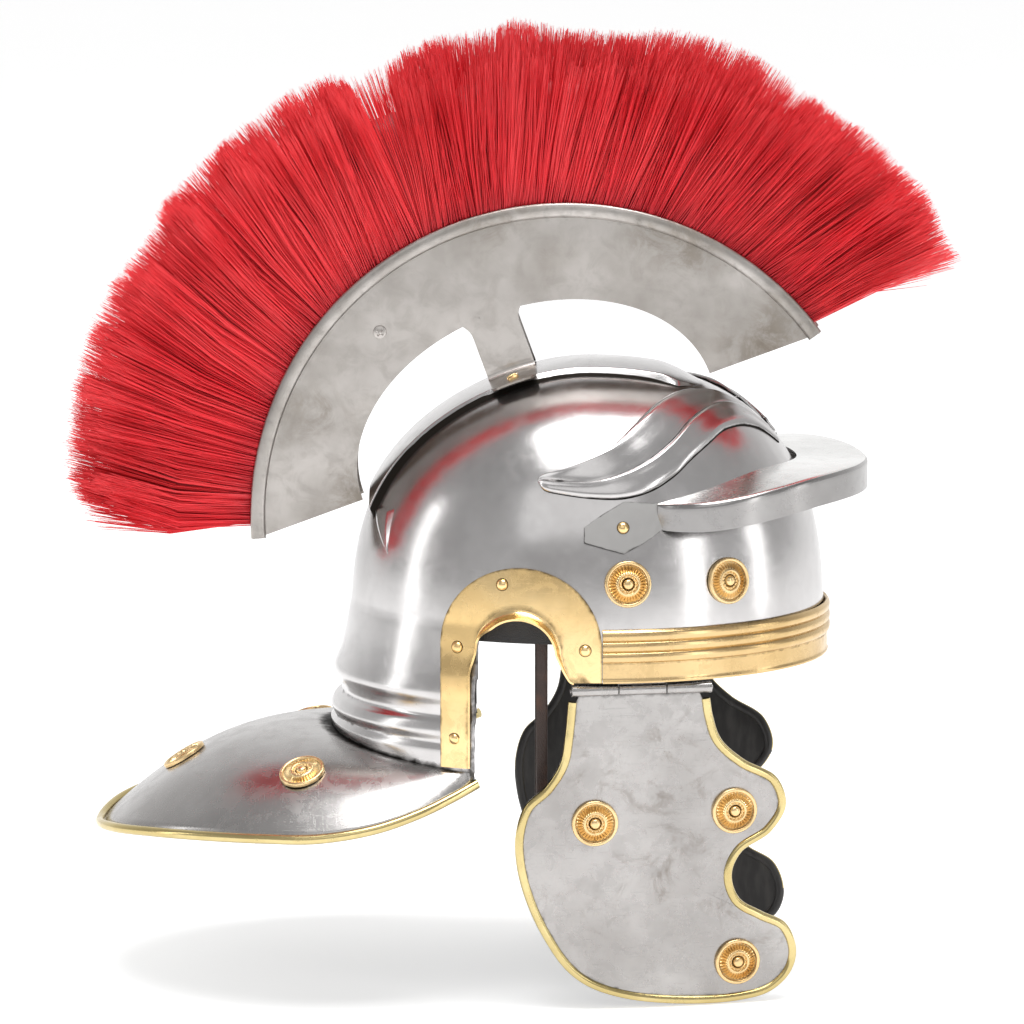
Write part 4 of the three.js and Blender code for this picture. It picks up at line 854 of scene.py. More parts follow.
def brow_patch():
    degrees = np.concatenate([np.linspace(105.0, 99, 24)[:-1], np.linspace(99, 9.0, 110)])
    lines = []
    for line in BROW_LINES:
        fine = SmoothCurve([(*point, 0) for point in line]).at(np.linspace(0, 1, 800))
        order = np.argsort(fine[:, 0])
        lines.append(np.interp(degrees, fine[order, 0], fine[order, 1]))
    upper, middle, lower = lines
    angle = np.radians(degrees)
    rows = []
    rise = []
    swell = (smoothstep(degrees, 105.6, 101.5) ** 0.5) * (0.55 + 0.45 * smoothstep(degrees, 9, 24))
    for place, height in BROW_PROFILE:
        z = lerp(upper, middle, place) if place < 1 else lerp(middle, lower, place - 1)
        rows.append(bowl_point(angle, z))
        rise.append(height * BROW_RISE * np.where(height > 0, swell, 1.0))
    grid = np.stack(rows)
    ahead = np.stack([bowl_normal_at(point) for point in grid.reshape(-1, 3)]).reshape(grid.shape)
    top = grid + ahead * np.stack(rise)[..., None]
    points, faces, _ = wall_mesh(top, 0.9, away_from=BOWL_MIDDLE)
    # Painted shade: dark lines along the upper, middle and lower lines of the brow, and a dark pocket on the
    # middle line near the tip.
    crease = np.zeros(len(BROW_PROFILE))
    for line_place, width, strength in ((0.0, 0.045, 1.0), (1.0, 0.035, 0.85), (1.99, 0.045, 1.0)):
        gap = (BROW_PROFILE[:, 0] - line_place) / width
        crease = np.maximum(crease, strength * np.exp(-(gap**2)))
    near_tip = np.exp(-(((degrees - 98.5) / 1.6) ** 2))
    on_middle = np.exp(-(((BROW_PROFILE[:, 0] - 1) / 0.16) ** 2))
    pocket = near_tip[None, :] * on_middle[:, None]
    size = grid.shape[0] * grid.shape[1]
    stain = np.zeros(len(points))
    stain[:size] = np.maximum(crease[:, None], pocket).ravel()
    edges = np.minimum(np.abs(BROW_PROFILE[:, 0] - 0.02), np.abs(BROW_PROFILE[:, 0] - 1.97))
    gilt = np.zeros(len(points))
    gilt[:size] = (np.exp(-((edges / 0.12) ** 2))[:, None] * smoothstep(degrees, 98, 104)[None, :]).ravel()
    return points, faces, stain, gilt


def bowl_normal_at(point):
    def depth(p):
        front, side, rear = ring_size(min(p[2], BOWL_HEIGHT - 0.01))
        length = front if p[0] > BOWL_X else rear
        return math.hypot((p[0] - BOWL_X) / length, p[1] / side)

    steps = np.eye(3) * 0.2
    slope = np.array([depth(point + step) - depth(point - step) for step in steps])
    return slope / np.linalg.norm(slope)


brow_points, brow_faces, brow_crease_shade, brow_gilt = brow_patch()
both = joined([(brow_points, brow_faces), mirrored(brow_points, brow_faces)])
brows = make_piece("embossed_brows", *both, [polished_steel], stain=np.tile(brow_crease_shade, 2), sharp=50)
gilt = brows.data.attributes.new("gilt", "FLOAT", "POINT")
gilt.data.foreach_set("value", np.tile(brow_gilt, 2).astype(np.float32))
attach(brows, "helmet")
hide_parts("bowl")
print("brows:", len(brows.data.polygons), "faces")

# %% [markdown]
# Brow band and neck rim. The band is a strip of brass with three rolled ribs, bent round the brow,
# and the neck rim is a brass strip rolled over the edge of the shelf. Both are one cross-section
# carried along a curve.

# %% Brow band and rolled edges
BAND_START_X = 9.8


def band_section():
    z = np.linspace(25.5, 0, 66)
    rib = np.zeros_like(z)
    for centre in (22.7, 17.6, 12.5):
        rib = np.maximum(rib, 1.5 * np.sqrt(np.clip(1 - ((z - centre) / 2.5) ** 2, 0, 1)))
    lip = 0.5 * np.exp(-(((z - 0.8) / 0.8) ** 2))
    return z, 1.3 + np.maximum(rib, lip), rib


def make_brow_band():
    end = float(angle_at(BAND_START_X, 0))
    angles = np.linspace(-end, end, 160)
    z, out, rib = band_section()
    grid = bowl_point(angles[None, :], z[:, None], out[:, None] + GAP)
    points, faces, _ = wall_mesh(grid, 1.1, away_from=BOWL_MIDDLE)
    stain = np.zeros(len(points))
    # Painted shade: darker in the valleys between the ribs.
    valley = np.exp(-((rib / 0.35) ** 2)) * (z > 9)
    stain[: grid.shape[0] * grid.shape[1]] = np.repeat(0.4 * valley, grid.shape[1])
    return make_piece("brow_band_brass", points, faces, [band_brass], stain=stain)


def tube_rings(centres, first, second, radius, sides):
    turn = np.linspace(0, 2 * math.pi, sides, endpoint=False)
    return (
        centres[:, None, :]
        + radius * np.cos(turn)[None, :, None] * first[:, None, :]
        + radius * np.sin(turn)[None, :, None] * second[:, None, :]
    )


brow_band = make_brow_band()
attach(brow_band, "helmet")
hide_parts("brow_band")

NECK_ROLL = 2.4
share = np.linspace(0, 1, 300)
neck_centres = neck_edge.at(share)
neck_tangent = unit(np.gradient(neck_centres, axis=0))
neck_outward = stack(neck_tangent[:, 1], -neck_tangent[:, 0], np.zeros(len(share)))
neck_outward = unit(neck_outward)
neck_outward[:, 2] = -0.35
neck_outward = unit(neck_outward)
neck_up = unit(np.cross(neck_outward, neck_tangent))
neck_middle = neck_centres + neck_outward * (NECK_ROLL + 0.1)
rim_points, rim_faces = rings_mesh(tube_rings(neck_middle, neck_outward, neck_up, NECK_ROLL, 14))
neck_rim = make_piece("neck_rim_brass", rim_points, rim_faces, [rolled_brass])
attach(neck_rim, "helmet")
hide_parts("neck_rim")
print("brow band:", len(brow_band.data.polygons), "faces; neck rim:", len(neck_rim.data.polygons), "faces")

# %% [markdown]
# Ear trims. A flat brass strip follows the ear opening, and its inner edge is flared outward into a
# lip that kept blows off the ear. The strip is a grid: one direction runs round the opening, the
# other goes from the outer edge over the strip and up the lip.

# %% Ear trims
TRIM_X = -29
TRIM_Z = 16
TRIM_RADIUS = 38.6
TRIM_FRONT_END = 0.3
TRIM_REAR_END = -43
TRIM_THICKNESS = 1
TRIM_OVER = 0.8
LEG_REACH = 8
LIP_OUT = 7
LIP_IN = 3.5
FRONT_PART = 0.14
REAR_PART = 0.62


def trim_station(way):
    if way < FRONT_PART:
        up = way / FRONT_PART
        outer = (TRIM_X + TRIM_RADIUS, lerp(TRIM_FRONT_END, TRIM_Z, up))
        inner = (lerp(-3.6, -9.8, up**0.5), lerp(TRIM_FRONT_END, EAR_Z, up))
        lip = max(0.04, up * 0.6)
    elif way < REAR_PART:
        angle = (way - FRONT_PART) / (REAR_PART - FRONT_PART) * math.pi
        outer = (TRIM_X + TRIM_RADIUS * math.cos(angle), TRIM_Z + TRIM_RADIUS * math.sin(angle))
        radius = EAR_RADIUS + 0.2
        inner = (EAR_X + radius * math.cos(angle), EAR_Z + radius * math.sin(angle))
        lip = lerp(0.6, 1, math.sin(angle)) * float(smoothstep(math.pi - angle, 0.1, 0.8))
        lip = max(0.04, lip)
    else:
        down = (way - REAR_PART) / (1 - REAR_PART)
        z = lerp(TRIM_Z, TRIM_REAR_END, down)
        outer = (TRIM_X - TRIM_RADIUS, z)
        inner = (lerp(EAR_X - EAR_RADIUS - 0.2, -54.5, float(smoothstep(down, 0, 0.25))), z)
        lip = 0.04
    outer, inner = np.array(outer), np.array(inner)
    centre = unit(np.array([EAR_X, EAR_Z]) - inner)
    return outer, inner, centre, lip


def level(values, reach, combine):
    """Each value replaced by the highest or the mean of its neighbours along the strip."""
    padded = np.pad(values, ((reach, reach), (0, 0)), mode="edge")
    return combine(np.lib.stride_tricks.sliding_window_view(padded, 2 * reach + 1, axis=0), axis=-1)


def make_ear_trim():
    ways = np.linspace(0, 1, 170)
    across = np.concatenate([np.linspace(0, 1, 9), np.linspace(1, 2, 11)[1:]])
    x = np.zeros((len(ways), len(across)))
    z = np.zeros_like(x)
    over = np.zeros_like(x)
    for i, way in enumerate(ways):
        outer, inner, centre, lip = trim_station(way)
        flat = np.minimum(across, 1)
        turn = np.maximum(across - 1, 0) * math.pi / 2
        x[i] = lerp(outer[0], inner[0], flat) + centre[0] * lip * LIP_IN * np.sin(turn)
        z[i] = lerp(outer[1], inner[1], flat) + centre[1] * lip * LIP_IN * np.sin(turn)
        over[i] = TRIM_OVER + TRIM_THICKNESS + lip * LIP_OUT * (1 - np.cos(turn))
    grid = side_point(x, z, over)
    bridged = level(level(grid[..., 1], LEG_REACH, np.max), LEG_REACH, np.mean)
    on_leg = smoothstep(ways, REAR_PART, REAR_PART + 0.1)[:, None]
    grid[..., 1] = lerp(grid[..., 1], bridged, on_leg)
    points, faces, _ = wall_mesh(grid, TRIM_THICKNESS, away_from=(TRIM_X, 0, TRIM_Z))
    # Painted shade: dark along the crease where the lip turns up and along the strip's outer edge. The strip is
    # also darker towards its lower front corner.
    crease = np.exp(-(((across - 0.97) / 0.1) ** 2))
    edge = np.exp(-((across / 0.06) ** 2))
    corner = np.exp(-((ways / 0.05) ** 2))[:, None] * smoothstep(across, 0.15, 0.6)[None, :]
    stain = np.zeros(len(points))
    along_strip = np.maximum(0.5 * crease, 0.6 * edge)[None, :]
    stain[: grid.shape[0] * grid.shape[1]] = np.maximum(along_strip, 0.62 * corner).ravel()
    return points, faces, stain


trim_points, trim_faces, trim_darkening = make_ear_trim()
for side in ("left", "right"):
    points, faces = (trim_points, trim_faces) if side == "left" else mirrored(trim_points, trim_faces)
    trim = make_piece(f"ear_trim_brass_{side}", points, faces, [sheet_brass], stain=trim_darkening)
    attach(trim, "helmet")
    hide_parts(f"ear_trim_{side}")
print("ear trims:", len(trim_faces), "faces each")

# %% [markdown]
# Peak. A strip of steel bent to an L lies across the brow to stop a downward cut: a flat shelf and a
# turned-down rim. Each end is hammered into a six-sided plate and riveted to the bowl.

# %% Peak
PEAK_RIM = np.array([
    (36, 88.2, 84.5), (48, 97, 86), (62, 100.5, 87.6), (78, 97.5, 90), (96, 88, 93), (112, 73.5, 95.5),
    (126, 54, 96.3), (136, 30, 96), (140.6, 0, 95.4),
])
PEAK_DROP = 14.5
PEAK_STEEL = 1.5
PEAK_BEND = 2.6
PEAK_CLEARANCE = 2.95
PLATE_OVER = 2.4
PLATE_TABLE = np.array([(1, 67.5, 74.5), (10, 64.8, 80.5), (20, 62, 86), (29, 66.4, 85.4), (38, 72.6, 84.6)])


def make_peak():
    rim = SmoothCurve(np.concatenate([PEAK_RIM, (PEAK_RIM[:-1] * (1, -1, 1))[::-1]]))
    ways = np.linspace(0, 1, 221)
    edge = rim.at(ways)
    angle = np.arctan2(edge[:, 1] / BOWL_SIDE, (edge[:, 0] - BOWL_X) / BOWL_FRONT)
    foot = bowl_point(angle, edge[:, 2], PEAK_CLEARANCE)
    foot[:, 2] = edge[:, 2]
    reach = np.linalg.norm(edge - foot, axis=1)
    outward = unit(edge - foot)
    drop = lerp(PEAK_DROP, 12, np.abs(ways - 0.5) ** 6 * 2**6)
    bend = np.minimum(PEAK_BEND, reach * 0.4)
    rows = [foot + outward * ((reach - bend) * s)[:, None] for s in np.linspace(0, 1, 8)]
    for turn in np.linspace(0, math.pi / 2, 8)[1:]:
        forward = (reach - bend + bend * math.sin(turn))[:, None]
        rows.append(foot + outward * forward - stack(0, 0, 1) * (bend * (1 - math.cos(turn)))[:, None])
    for s in np.linspace(0, 1, 8)[1:]:
        rows.append(foot + outward * reach[:, None] - stack(0, 0, 1) * lerp(bend, drop, s)[:, None])
    grid = np.stack(rows)
    points, faces, _ = wall_mesh(grid, PEAK_STEEL, away_from=(20, 0, 40))
    return points, faces


def make_peak_plate():
    x = np.linspace(PLATE_TABLE[0, 0], PLATE_TABLE[-1, 0], 45)
    low = np.interp(x, PLATE_TABLE[:, 0], PLATE_TABLE[:, 1])
    high = np.interp(x, PLATE_TABLE[:, 0], PLATE_TABLE[:, 2])
    up = np.linspace(0, 1, 14)
    z = lerp(low[None, :], high[None, :], up[:, None])
    bent = side_point(np.broadcast_to(x[None, :], z.shape), z, PLATE_OVER)
    table = np.stack([bent[..., 0].ravel(), bent[..., 2].ravel(), np.ones(bent[..., 0].size)], -1)
    plane = np.linalg.lstsq(table, bent[..., 1].ravel(), rcond=None)[0]
    flat_y = (table @ plane).reshape(z.shape)
    grid = bent.copy()
    grid[..., 1] = lerp(bent[..., 1], flat_y + 0.35, 0.75)
    points, faces, _ = wall_mesh(grid, PEAK_STEEL, away_from=BOWL_MIDDLE)
    # Painted shade: dark lines along the plate's free edges.
    edge = np.zeros(z.shape)
    edge[[0, -1], :] = 1
    edge[:, 0] = 1
    return points, faces, np.concatenate([0.55 * edge.ravel(), edge.ravel()])


# Faces that look up more steeply than this take the brightest tone, painted light on the shelf; the others take
# the dark tone, painted shade on the rim.
SHELF_FACING = 0.75
*plate, plate_edge = make_peak_plate()
peak_points, peak_faces = joined([make_peak(), plate, mirrored(*plate)])
peak_plate_shade = np.zeros(len(peak_points))
peak_plate_shade[-2 * len(plate_edge) :] = np.tile(plate_edge, 2)
peak_slots = np.zeros(len(peak_faces), int)
peak_slots[-2 * len(plate[1]) :] = 1
for number, face in enumerate(peak_faces[: -2 * len(plate[1])]):
    a, b, c = (peak_points[corner] for corner in face[:3])
    if unit(np.cross(b - a, c - a))[2] > SHELF_FACING:
        peak_slots[number] = 2
peak = make_piece("steel_peak", peak_points, peak_faces, [peak_steel, plate_steel, shelf_steel],
                  slots=peak_slots, stain=peak_plate_shade)
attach(peak, "helmet")
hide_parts("visor")
print("peak:", len(peak_faces), "faces")

# %% [markdown]
# Crest box. Two crescent plates hold a wooden core, with a rolled bead along the outer edge of each.
# The crest is drawn in its own tilted frame: b along the crest, n away from the bowl.

# %% Crest frame, plates and core
CREST_X = -21.6
CREST_Z = 106
CREST_TILT = math.radians(20.2)
ARC_RADIUS = 153.9
ARC_CENTRE = -42
ARCH_LENGTH = 90
ARCH_HEIGHT = 63.7
BOX_HALF = 11.5
BOX_PLATE = 1
BOX_BEAD = 3.6
BEAD_GRIME = 0.26
CORE_OUTER = 149
TAB_TOP = 60
TAB_HALF = 12


def crest_point(b, n, y):
    cos, sin = math.cos(CREST_TILT), math.sin(CREST_TILT)
    b, n, y = np.broadcast_arrays(b, n, y)
    return stack(CREST_X + b * cos - n * sin, y, CREST_Z + b * sin + n * cos)


def crescent_grid(outer, inset, end_inset, rows, count):
    start = math.asin((-ARC_CENTRE + end_inset) / outer)
    turn = np.linspace(start, math.pi - start, count)
    out_b, out_n = outer * np.cos(turn), ARC_CENTRE + outer * np.sin(turn)
    arch = np.linspace(0, math.pi, count)
    in_b = (ARCH_LENGTH + inset) * np.cos(arch)
    in_n = end_inset + (ARCH_HEIGHT + inset - end_inset) * np.sin(arch)
    share = np.linspace(0, 1, rows)[:, None]
    return lerp(in_b, out_b, share), lerp(in_n, out_n, share)


def crest_tab():
    """The tab that turns down from the plate and out over the ridge."""
    rows = []
    for share in np.linspace(-1, 1, 25):
        b = share * TAB_HALF
        flange_y = np.array([13.4, 15.5, 19, 24, 28, 32])
        narrowing = np.where(flange_y > 30, 0.72, np.interp(flange_y, (13, 28), (1.0, 0.93)))
        n = np.full(len(flange_y), 30.0)
        for _ in range(30):
            point = crest_point(b * narrowing, n, flange_y)
            rest = top_height(point[:, 0], np.minimum(flange_y, RIDGE_HALF_WIDTH))
            n += (rest + RIDGE_HEIGHT + GAP + 1.3 - point[:, 2]) * 0.8
        flange = crest_point(b * narrowing, n, flange_y)
        fold = n[0] + 1.6
        heights = np.linspace(ARCH_HEIGHT + 8, fold, 12)
        flare = 1 + 0.75 * np.clip((heights - (TAB_TOP - 4)) / 12, 0, 1) ** 2
        upright = crest_point(b * flare, heights, BOX_HALF)
        path = SmoothCurve(np.concatenate([upright, flange]))
        rows.append(path.at(np.linspace(0, 1, 70)))
    grid = np.stack(rows)
    points, faces, _ = wall_mesh(grid, BOX_PLATE, away_from=(CREST_X - 30, 0, 100))
    return points, faces


def crest_plate():
    b, n = crescent_grid(ARC_RADIUS - 1, 0, 0, 20, 130)
    grid = crest_point(b, n, BOX_HALF)
    wobble = 0.12 * np.sin(b / 9.0 + n / 17.0) * np.sin(n / 11.0 - b / 23.0)
    grid[..., 1] += wobble
    plate_points, plate_faces, _ = wall_mesh(grid, BOX_PLATE, towards=(0, 1, 0))
    start = math.asin(-ARC_CENTRE / ARC_RADIUS) + 0.005
    turn = np.linspace(start, math.pi - start, 220)
    radial = np.stack([np.cos(turn), np.sin(turn)], -1)
    section = np.linspace(0, 2 * math.pi, 16, endpoint=False)
    reach = ARC_RADIUS - BOX_BEAD + BOX_BEAD * np.cos(section)
    side = BOX_HALF + 0.45 + 1.35 * np.sin(section)
    rings = crest_point(
        radial[:, 0:1] * reach[None, :], ARC_CENTRE + radial[:, 1:2] * reach[None, :], side[None, :]
    )
    parts = [(plate_points, plate_faces), rings_mesh(rings), crest_tab()]
    points, faces = joined(parts)
    stain = np.zeros(len(points))
    # Painted shade: a dark line on the plate along the inner edge of the bead. The bead itself gets an even light
    # grime.
    distance = np.abs(np.hypot(b, n - ARC_CENTRE) - (ARC_RADIUS - 2 * BOX_BEAD))
    stain[: b.size] = (0.5 * np.exp(-((distance / 1.3) ** 2))).ravel()
    bead_start = len(plate_points)
    stain[bead_start : bead_start + rings.shape[0] * rings.shape[1]] = BEAD_GRIME
    return points, faces, stain


plate_points, plate_faces, crest_shade_and_grime = crest_plate()
for side in ("left", "right"):
    points, faces = (plate_points, plate_faces) if side == "left" else mirrored(plate_points, plate_faces)
    box_plate = make_piece(f"crest_box_plate_{side}", points, faces, [crest_steel], stain=crest_shade_and_grime)
    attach(box_plate, "helmet")
    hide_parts(f"crest_plate_{side}")

core_half = BOX_HALF - BOX_PLATE - GAP
core_b, core_n = crescent_grid(CORE_OUTER, 1.5, 0.8, 16, 140)
core_face = crest_point(core_b, core_n, core_half)
core_points, core_faces, _ = wall_mesh(core_face, 2 * core_half, towards=(0, 1, 0))
core = make_piece("crest_wood_core", core_points, core_faces, [core_wood])
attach(core, "helmet")
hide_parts("crest_core")
print("crest plates:", len(plate_faces), "faces each; core:", len(core_faces))

# %% [markdown]
# Brush. The crest is a thick brush of dyed bristle, fanned out from the box. Thousands of single
# hairs are a job for Geometry Nodes: points are scattered on a narrow strip of roots, a line grows
# from each in the direction stored there, noise bends it, and a three-sided profile gives it body.
# A low dark heart in the bristle's root tone fills the depth between them, as painted shade for the inside of the
# brush.

# %% Brush roots
BRUSH_ROOT = 147.5
BRUSH_TIPS = np.array([
    (-68.5, 238), (-65.5, 241), (-60, 246), (-52, 250), (-40, 250), (-31, 251), (-25, 248),
    (-16, 247.5), (-9, 246), (-5, 242), (-2, 239), (4, 240), (11, 244), (20, 238.5), (28, 238.5),
    (36, 243), (44, 241), (50, 237), (57, 239), (65, 237), (71, 234), (76, 230),
])
ROOT_SPAN = 71.5
ROOT_HALF = 9.6
TIP_HALF = 26
PARTING = -3.4
PARTING_PUSH = (3.4, 1.0)
PARTING_REACH = 3.0
END_DROOP = 7


def brush_fan(way, across, scale=1.0, half=TIP_HALF):
    """Root and tip of the fan at a place along and across the brush."""
    tip_degrees = lerp(BRUSH_TIPS[0, 0], BRUSH_TIPS[-1, 0], way)
    radius = np.interp(tip_degrees, BRUSH_TIPS[:, 0], BRUSH_TIPS[:, 1])
    from_parting = tip_degrees - PARTING
    push = np.where(from_parting < 0, -PARTING_PUSH[0], PARTING_PUSH[1])
    tip_degrees = tip_degrees + push * np.exp(-np.abs(from_parting) / PARTING_REACH)
    root_turn = np.radians(lerp(-ROOT_SPAN, ROOT_SPAN, way))
    tip_turn = np.radians(tip_degrees)
    bow = np.sqrt(np.clip(1 - 0.12 * across**2, 0, 1))
    root_b = BRUSH_ROOT * np.sin(root_turn)
    root_n = ARC_CENTRE + BRUSH_ROOT * np.cos(root_turn)
    root = crest_point(root_b, root_n, across * ROOT_HALF)
    reach = lerp(BRUSH_ROOT, radius, scale) * bow
    tip = crest_point(reach * np.sin(tip_turn), ARC_CENTRE + reach * np.cos(tip_turn), across * half)
    return root, tip


def root_strip(name):
    ways = np.linspace(0, 1, 181)
    across = np.linspace(-1, 1, 9)
    grid_way, grid_across = np.meshgrid(ways, across, indexing="ij")
    root, tip = brush_fan(grid_way, grid_across)
    strip = make_piece(name, root.reshape(-1, 3), grid_quads(len(ways), len(across)), [red_bristle])
    reach = strip.data.attributes.new("reach", "FLOAT_VECTOR", "POINT")
    reach.data.foreach_set("vector", ((tip - root) * MM).astype(np.float32).ravel())
    droop = strip.data.attributes.new("droop", "FLOAT_VECTOR", "POINT")
    at_ends = np.exp(-grid_way / 0.07) - 0.7 * np.exp(-(1 - grid_way) / 0.07)
    sag = (crest_point(-1, -0.6, 0) - crest_point(0, 0, 0)) * (at_ends * END_DROOP)[..., None]
    droop.data.foreach_set("vector", (sag * MM).astype(np.float32).ravel())
    parting_way = (PARTING - BRUSH_TIPS[0, 0]) / (BRUSH_TIPS[-1, 0] - BRUSH_TIPS[0, 0])
    freedom = strip.data.attributes.new("freedom", "FLOAT", "POINT")
    free = lerp(0.3, 1.0, smoothstep(np.abs(grid_way - parting_way), 0.004, 0.045))
    freedom.data.foreach_set("value", free.astype(np.float32).ravel())
    return strip


# %% [markdown]
# The tree that grows the hairs. Its inputs carry the sizes in plain words, so a fuller or a tidier
# brush is one number away, and the fixed seed gives the same brush in each run.

# %% Bristle tree


def group_tree(name, inputs):
    tree = bpy.data.node_groups.new(name, "GeometryNodeTree")
    tree.interface.new_socket("Geometry", in_out="INPUT", socket_type="NodeSocketGeometry")
    tree.interface.new_socket("Geometry", in_out="OUTPUT", socket_type="NodeSocketGeometry")
    for label, kind, value in inputs:
        socket = tree.interface.new_socket(label, in_out="INPUT", socket_type=kind)
        if value is not None:
            socket.default_value = value
    enter = tree.nodes.new("NodeGroupInput")
    leave = tree.nodes.new("NodeGroupOutput")
    return tree, enter, leave


def set_inputs(modifier, values):
    """Sets a modifier's inputs by the identifiers that their names have in its tree."""
    for item in modifier.node_group.interface.items_tree:
        if item.item_type == "SOCKET" and item.in_out == "INPUT" and item.name in values:
            modifier[item.identifier] = values[item.name]


class Nodes:
    """Short words for adding and linking geometry nodes."""

    def __init__(self, tree):
        self.tree = tree

    def add(self, kind, settings=None, **inputs):
        node = self.tree.nodes.new(kind)
        for key, value in (settings or {}).items():
            setattr(node, key, value)
        for key, value in inputs.items():
            socket = self.socket(node, key.replace("_", " "))
            if isinstance(value, bpy.types.NodeSocket):
                self.tree.links.new(value, socket)
            else:
                socket.default_value = value
        return node

    def stored(self, name, kind):
        return self.add("GeometryNodeInputNamedAttribute", {"data_type": kind}, Name=name).outputs["Attribute"]

    @staticmethod
    def socket(node, name):
        usable = [s for s in node.inputs if s.name == name and s.enabled]
        return usable[0]

    def vector_math(self, operation, first, second=None, scale=None):
        node = self.tree.nodes.new("ShaderNodeVectorMath")
        node.operation = operation
        self.fill(node.inputs[0], first)
        if second is not None:
            self.fill(node.inputs[1], second)
        if scale is not None:
            self.fill(node.inputs["Scale"], scale)
        return node.outputs["Value"] if operation == "LENGTH" else node.outputs["Vector"]

    def math(self, operation, first, second=None):
        node = self.tree.nodes.new("ShaderNodeMath")
        node.operation = operation
        self.fill(node.inputs[0], first)
        if second is not None:
            self.fill(node.inputs[1], second)
        return node.outputs["Value"]

    def fill(self, socket, value):
        if isinstance(value, bpy.types.NodeSocket):
            self.tree.links.new(value, socket)
        else:
            socket.default_value = value


def bristle_tree():
    tree, enter, leave = group_tree("bristle_fan", [
        ("Hairs per square metre", "NodeSocketFloat", 1e6),
        ("Seed", "NodeSocketInt", 1),
        ("Thickness", "NodeSocketFloat", 0.0003),
        ("Wander", "NodeSocketFloat", 0.006),
        ("Shortest", "NodeSocketFloat", 0.86),
        ("Points", "NodeSocketInt", 6),
        ("Material", "NodeSocketMaterial", None),
    ])
    n = Nodes(tree)
    seed = enter.outputs["Seed"]
    scatter = n.add("GeometryNodeDistributePointsOnFaces", Mesh=enter.outputs["Geometry"],
                    Density=enter.outputs["Hairs per square metre"], Seed=seed)
    reach = n.stored("reach", "FLOAT_VECTOR")
    place = n.add("GeometryNodeInputPosition").outputs["Position"]
    lock = n.add("ShaderNodeTexNoise", Vector=place, Scale=85.0, Detail=2.0)
    lock_store = n.add("GeometryNodeStoreNamedAttribute", {"data_type": "FLOAT", "domain": "POINT"},
                       Geometry=scatter.outputs["Points"], Name="lock", Value=lock.outputs["Fac"])
    lean = n.vector_math("SUBTRACT", lock.outputs["Color"], (0.5, 0.5, 0.5))
    free = n.stored("freedom", "FLOAT")
    lean = n.vector_math("SCALE", lean, scale=n.math("MULTIPLY", free, 0.05))
    stray = n.add("FunctionNodeRandomValue", {"data_type": "FLOAT_VECTOR"}, Min=(-1, -1, -1),
                  Max=(1, 1, 1), Seed=seed)
    stray_part = n.vector_math("SCALE", stray.outputs["Value"], scale=n.math("MULTIPLY", free, 0.0045))
    aim = n.vector_math("ADD", n.vector_math("ADD", reach, lean), stray_part)
    trim = n.add("FunctionNodeRandomValue", {"data_type": "FLOAT"}, Min=enter.outputs["Shortest"],
                 Max=1.0, Seed=seed)
    length = n.math("MULTIPLY", n.vector_math("LENGTH", reach), trim.outputs[1])
    turn = n.add("FunctionNodeAlignRotationToVector", {"axis": "Z"}, Vector=aim).outputs["Rotation"]
    line = n.add("GeometryNodeCurvePrimitiveLine", Start=(0, 0, 0), End=(0, 0, 1))
    line = n.add("GeometryNodeResampleCurve", Curve=line.outputs["Curve"], Count=enter.outputs["Points"])
    scale = n.add("ShaderNodeCombineXYZ", X=1.0, Y=1.0, Z=length).outputs["Vector"]
    grown = n.add("GeometryNodeInstanceOnPoints", Points=lock_store.outputs["Geometry"],
                  Instance=line.outputs["Curve"], Rotation=turn, Scale=scale)
    real = n.add("GeometryNodeRealizeInstances", Geometry=grown.outputs["Instances"])
    factor = n.add("GeometryNodeSplineParameter").outputs["Factor"]
    tone = n.add("FunctionNodeRandomValue", {"data_type": "FLOAT"}, Min=0.0, Max=1.0, Seed=seed)
    toned = n.add("GeometryNodeStoreNamedAttribute", {"data_type": "FLOAT", "domain": "CURVE"},
                  Geometry=real.outputs["Geometry"], Name="tone", Value=tone.outputs[1])
    marked = n.add("GeometryNodeStoreNamedAttribute", {"data_type": "FLOAT", "domain": "POINT"},
                   Geometry=toned.outputs["Geometry"], Name="along", Value=factor)
    waves = n.add("ShaderNodeTexNoise", Vector=place, Scale=26.0, Detail=2.0).outputs["Color"]
    bend = n.vector_math("SUBTRACT", waves, (0.5, 0.5, 0.5))
    growth = n.math("MULTIPLY", n.math("MULTIPLY", factor, factor), enter.outputs["Wander"])
    bend = n.vector_math("SCALE", bend, scale=growth)
    sag = n.stored("droop", "FLOAT_VECTOR")
    arch = n.math("MULTIPLY", n.math("MULTIPLY", factor, n.math("SUBTRACT", 1.0, factor)), 4.0)
    bend = n.vector_math("ADD", bend, n.vector_math("SCALE", sag, scale=arch))
    moved = n.add("GeometryNodeSetPosition", Geometry=marked.outputs["Geometry"], Offset=bend)
    taper = n.math("SUBTRACT", 1.0, n.math("MULTIPLY", n.math("POWER", factor, 3.0), 0.7))
    radius = n.math("MULTIPLY", taper, enter.outputs["Thickness"])
    sized = n.add("GeometryNodeSetCurveRadius", Curve=moved.outputs["Geometry"], Radius=radius)
    profile = n.add("GeometryNodeCurvePrimitiveCircle", Resolution=3, Radius=1.0)
    hair = n.add("GeometryNodeCurveToMesh", Curve=sized.outputs["Curve"],
                 Profile_Curve=profile.outputs["Curve"], Fill_Caps=True)
    if "Scale" in hair.inputs:
        tree.links.new(radius, hair.inputs["Scale"])
    real_hair = n.add("GeometryNodeRealizeInstances", Geometry=hair.outputs["Mesh"])
    finished = n.add("GeometryNodeSetMaterial", Geometry=real_hair.outputs["Geometry"],
                     Material=enter.outputs["Material"])
    tree.links.new(finished.outputs["Geometry"], leave.inputs[0])
    return tree


HAIR_POINTS = 3


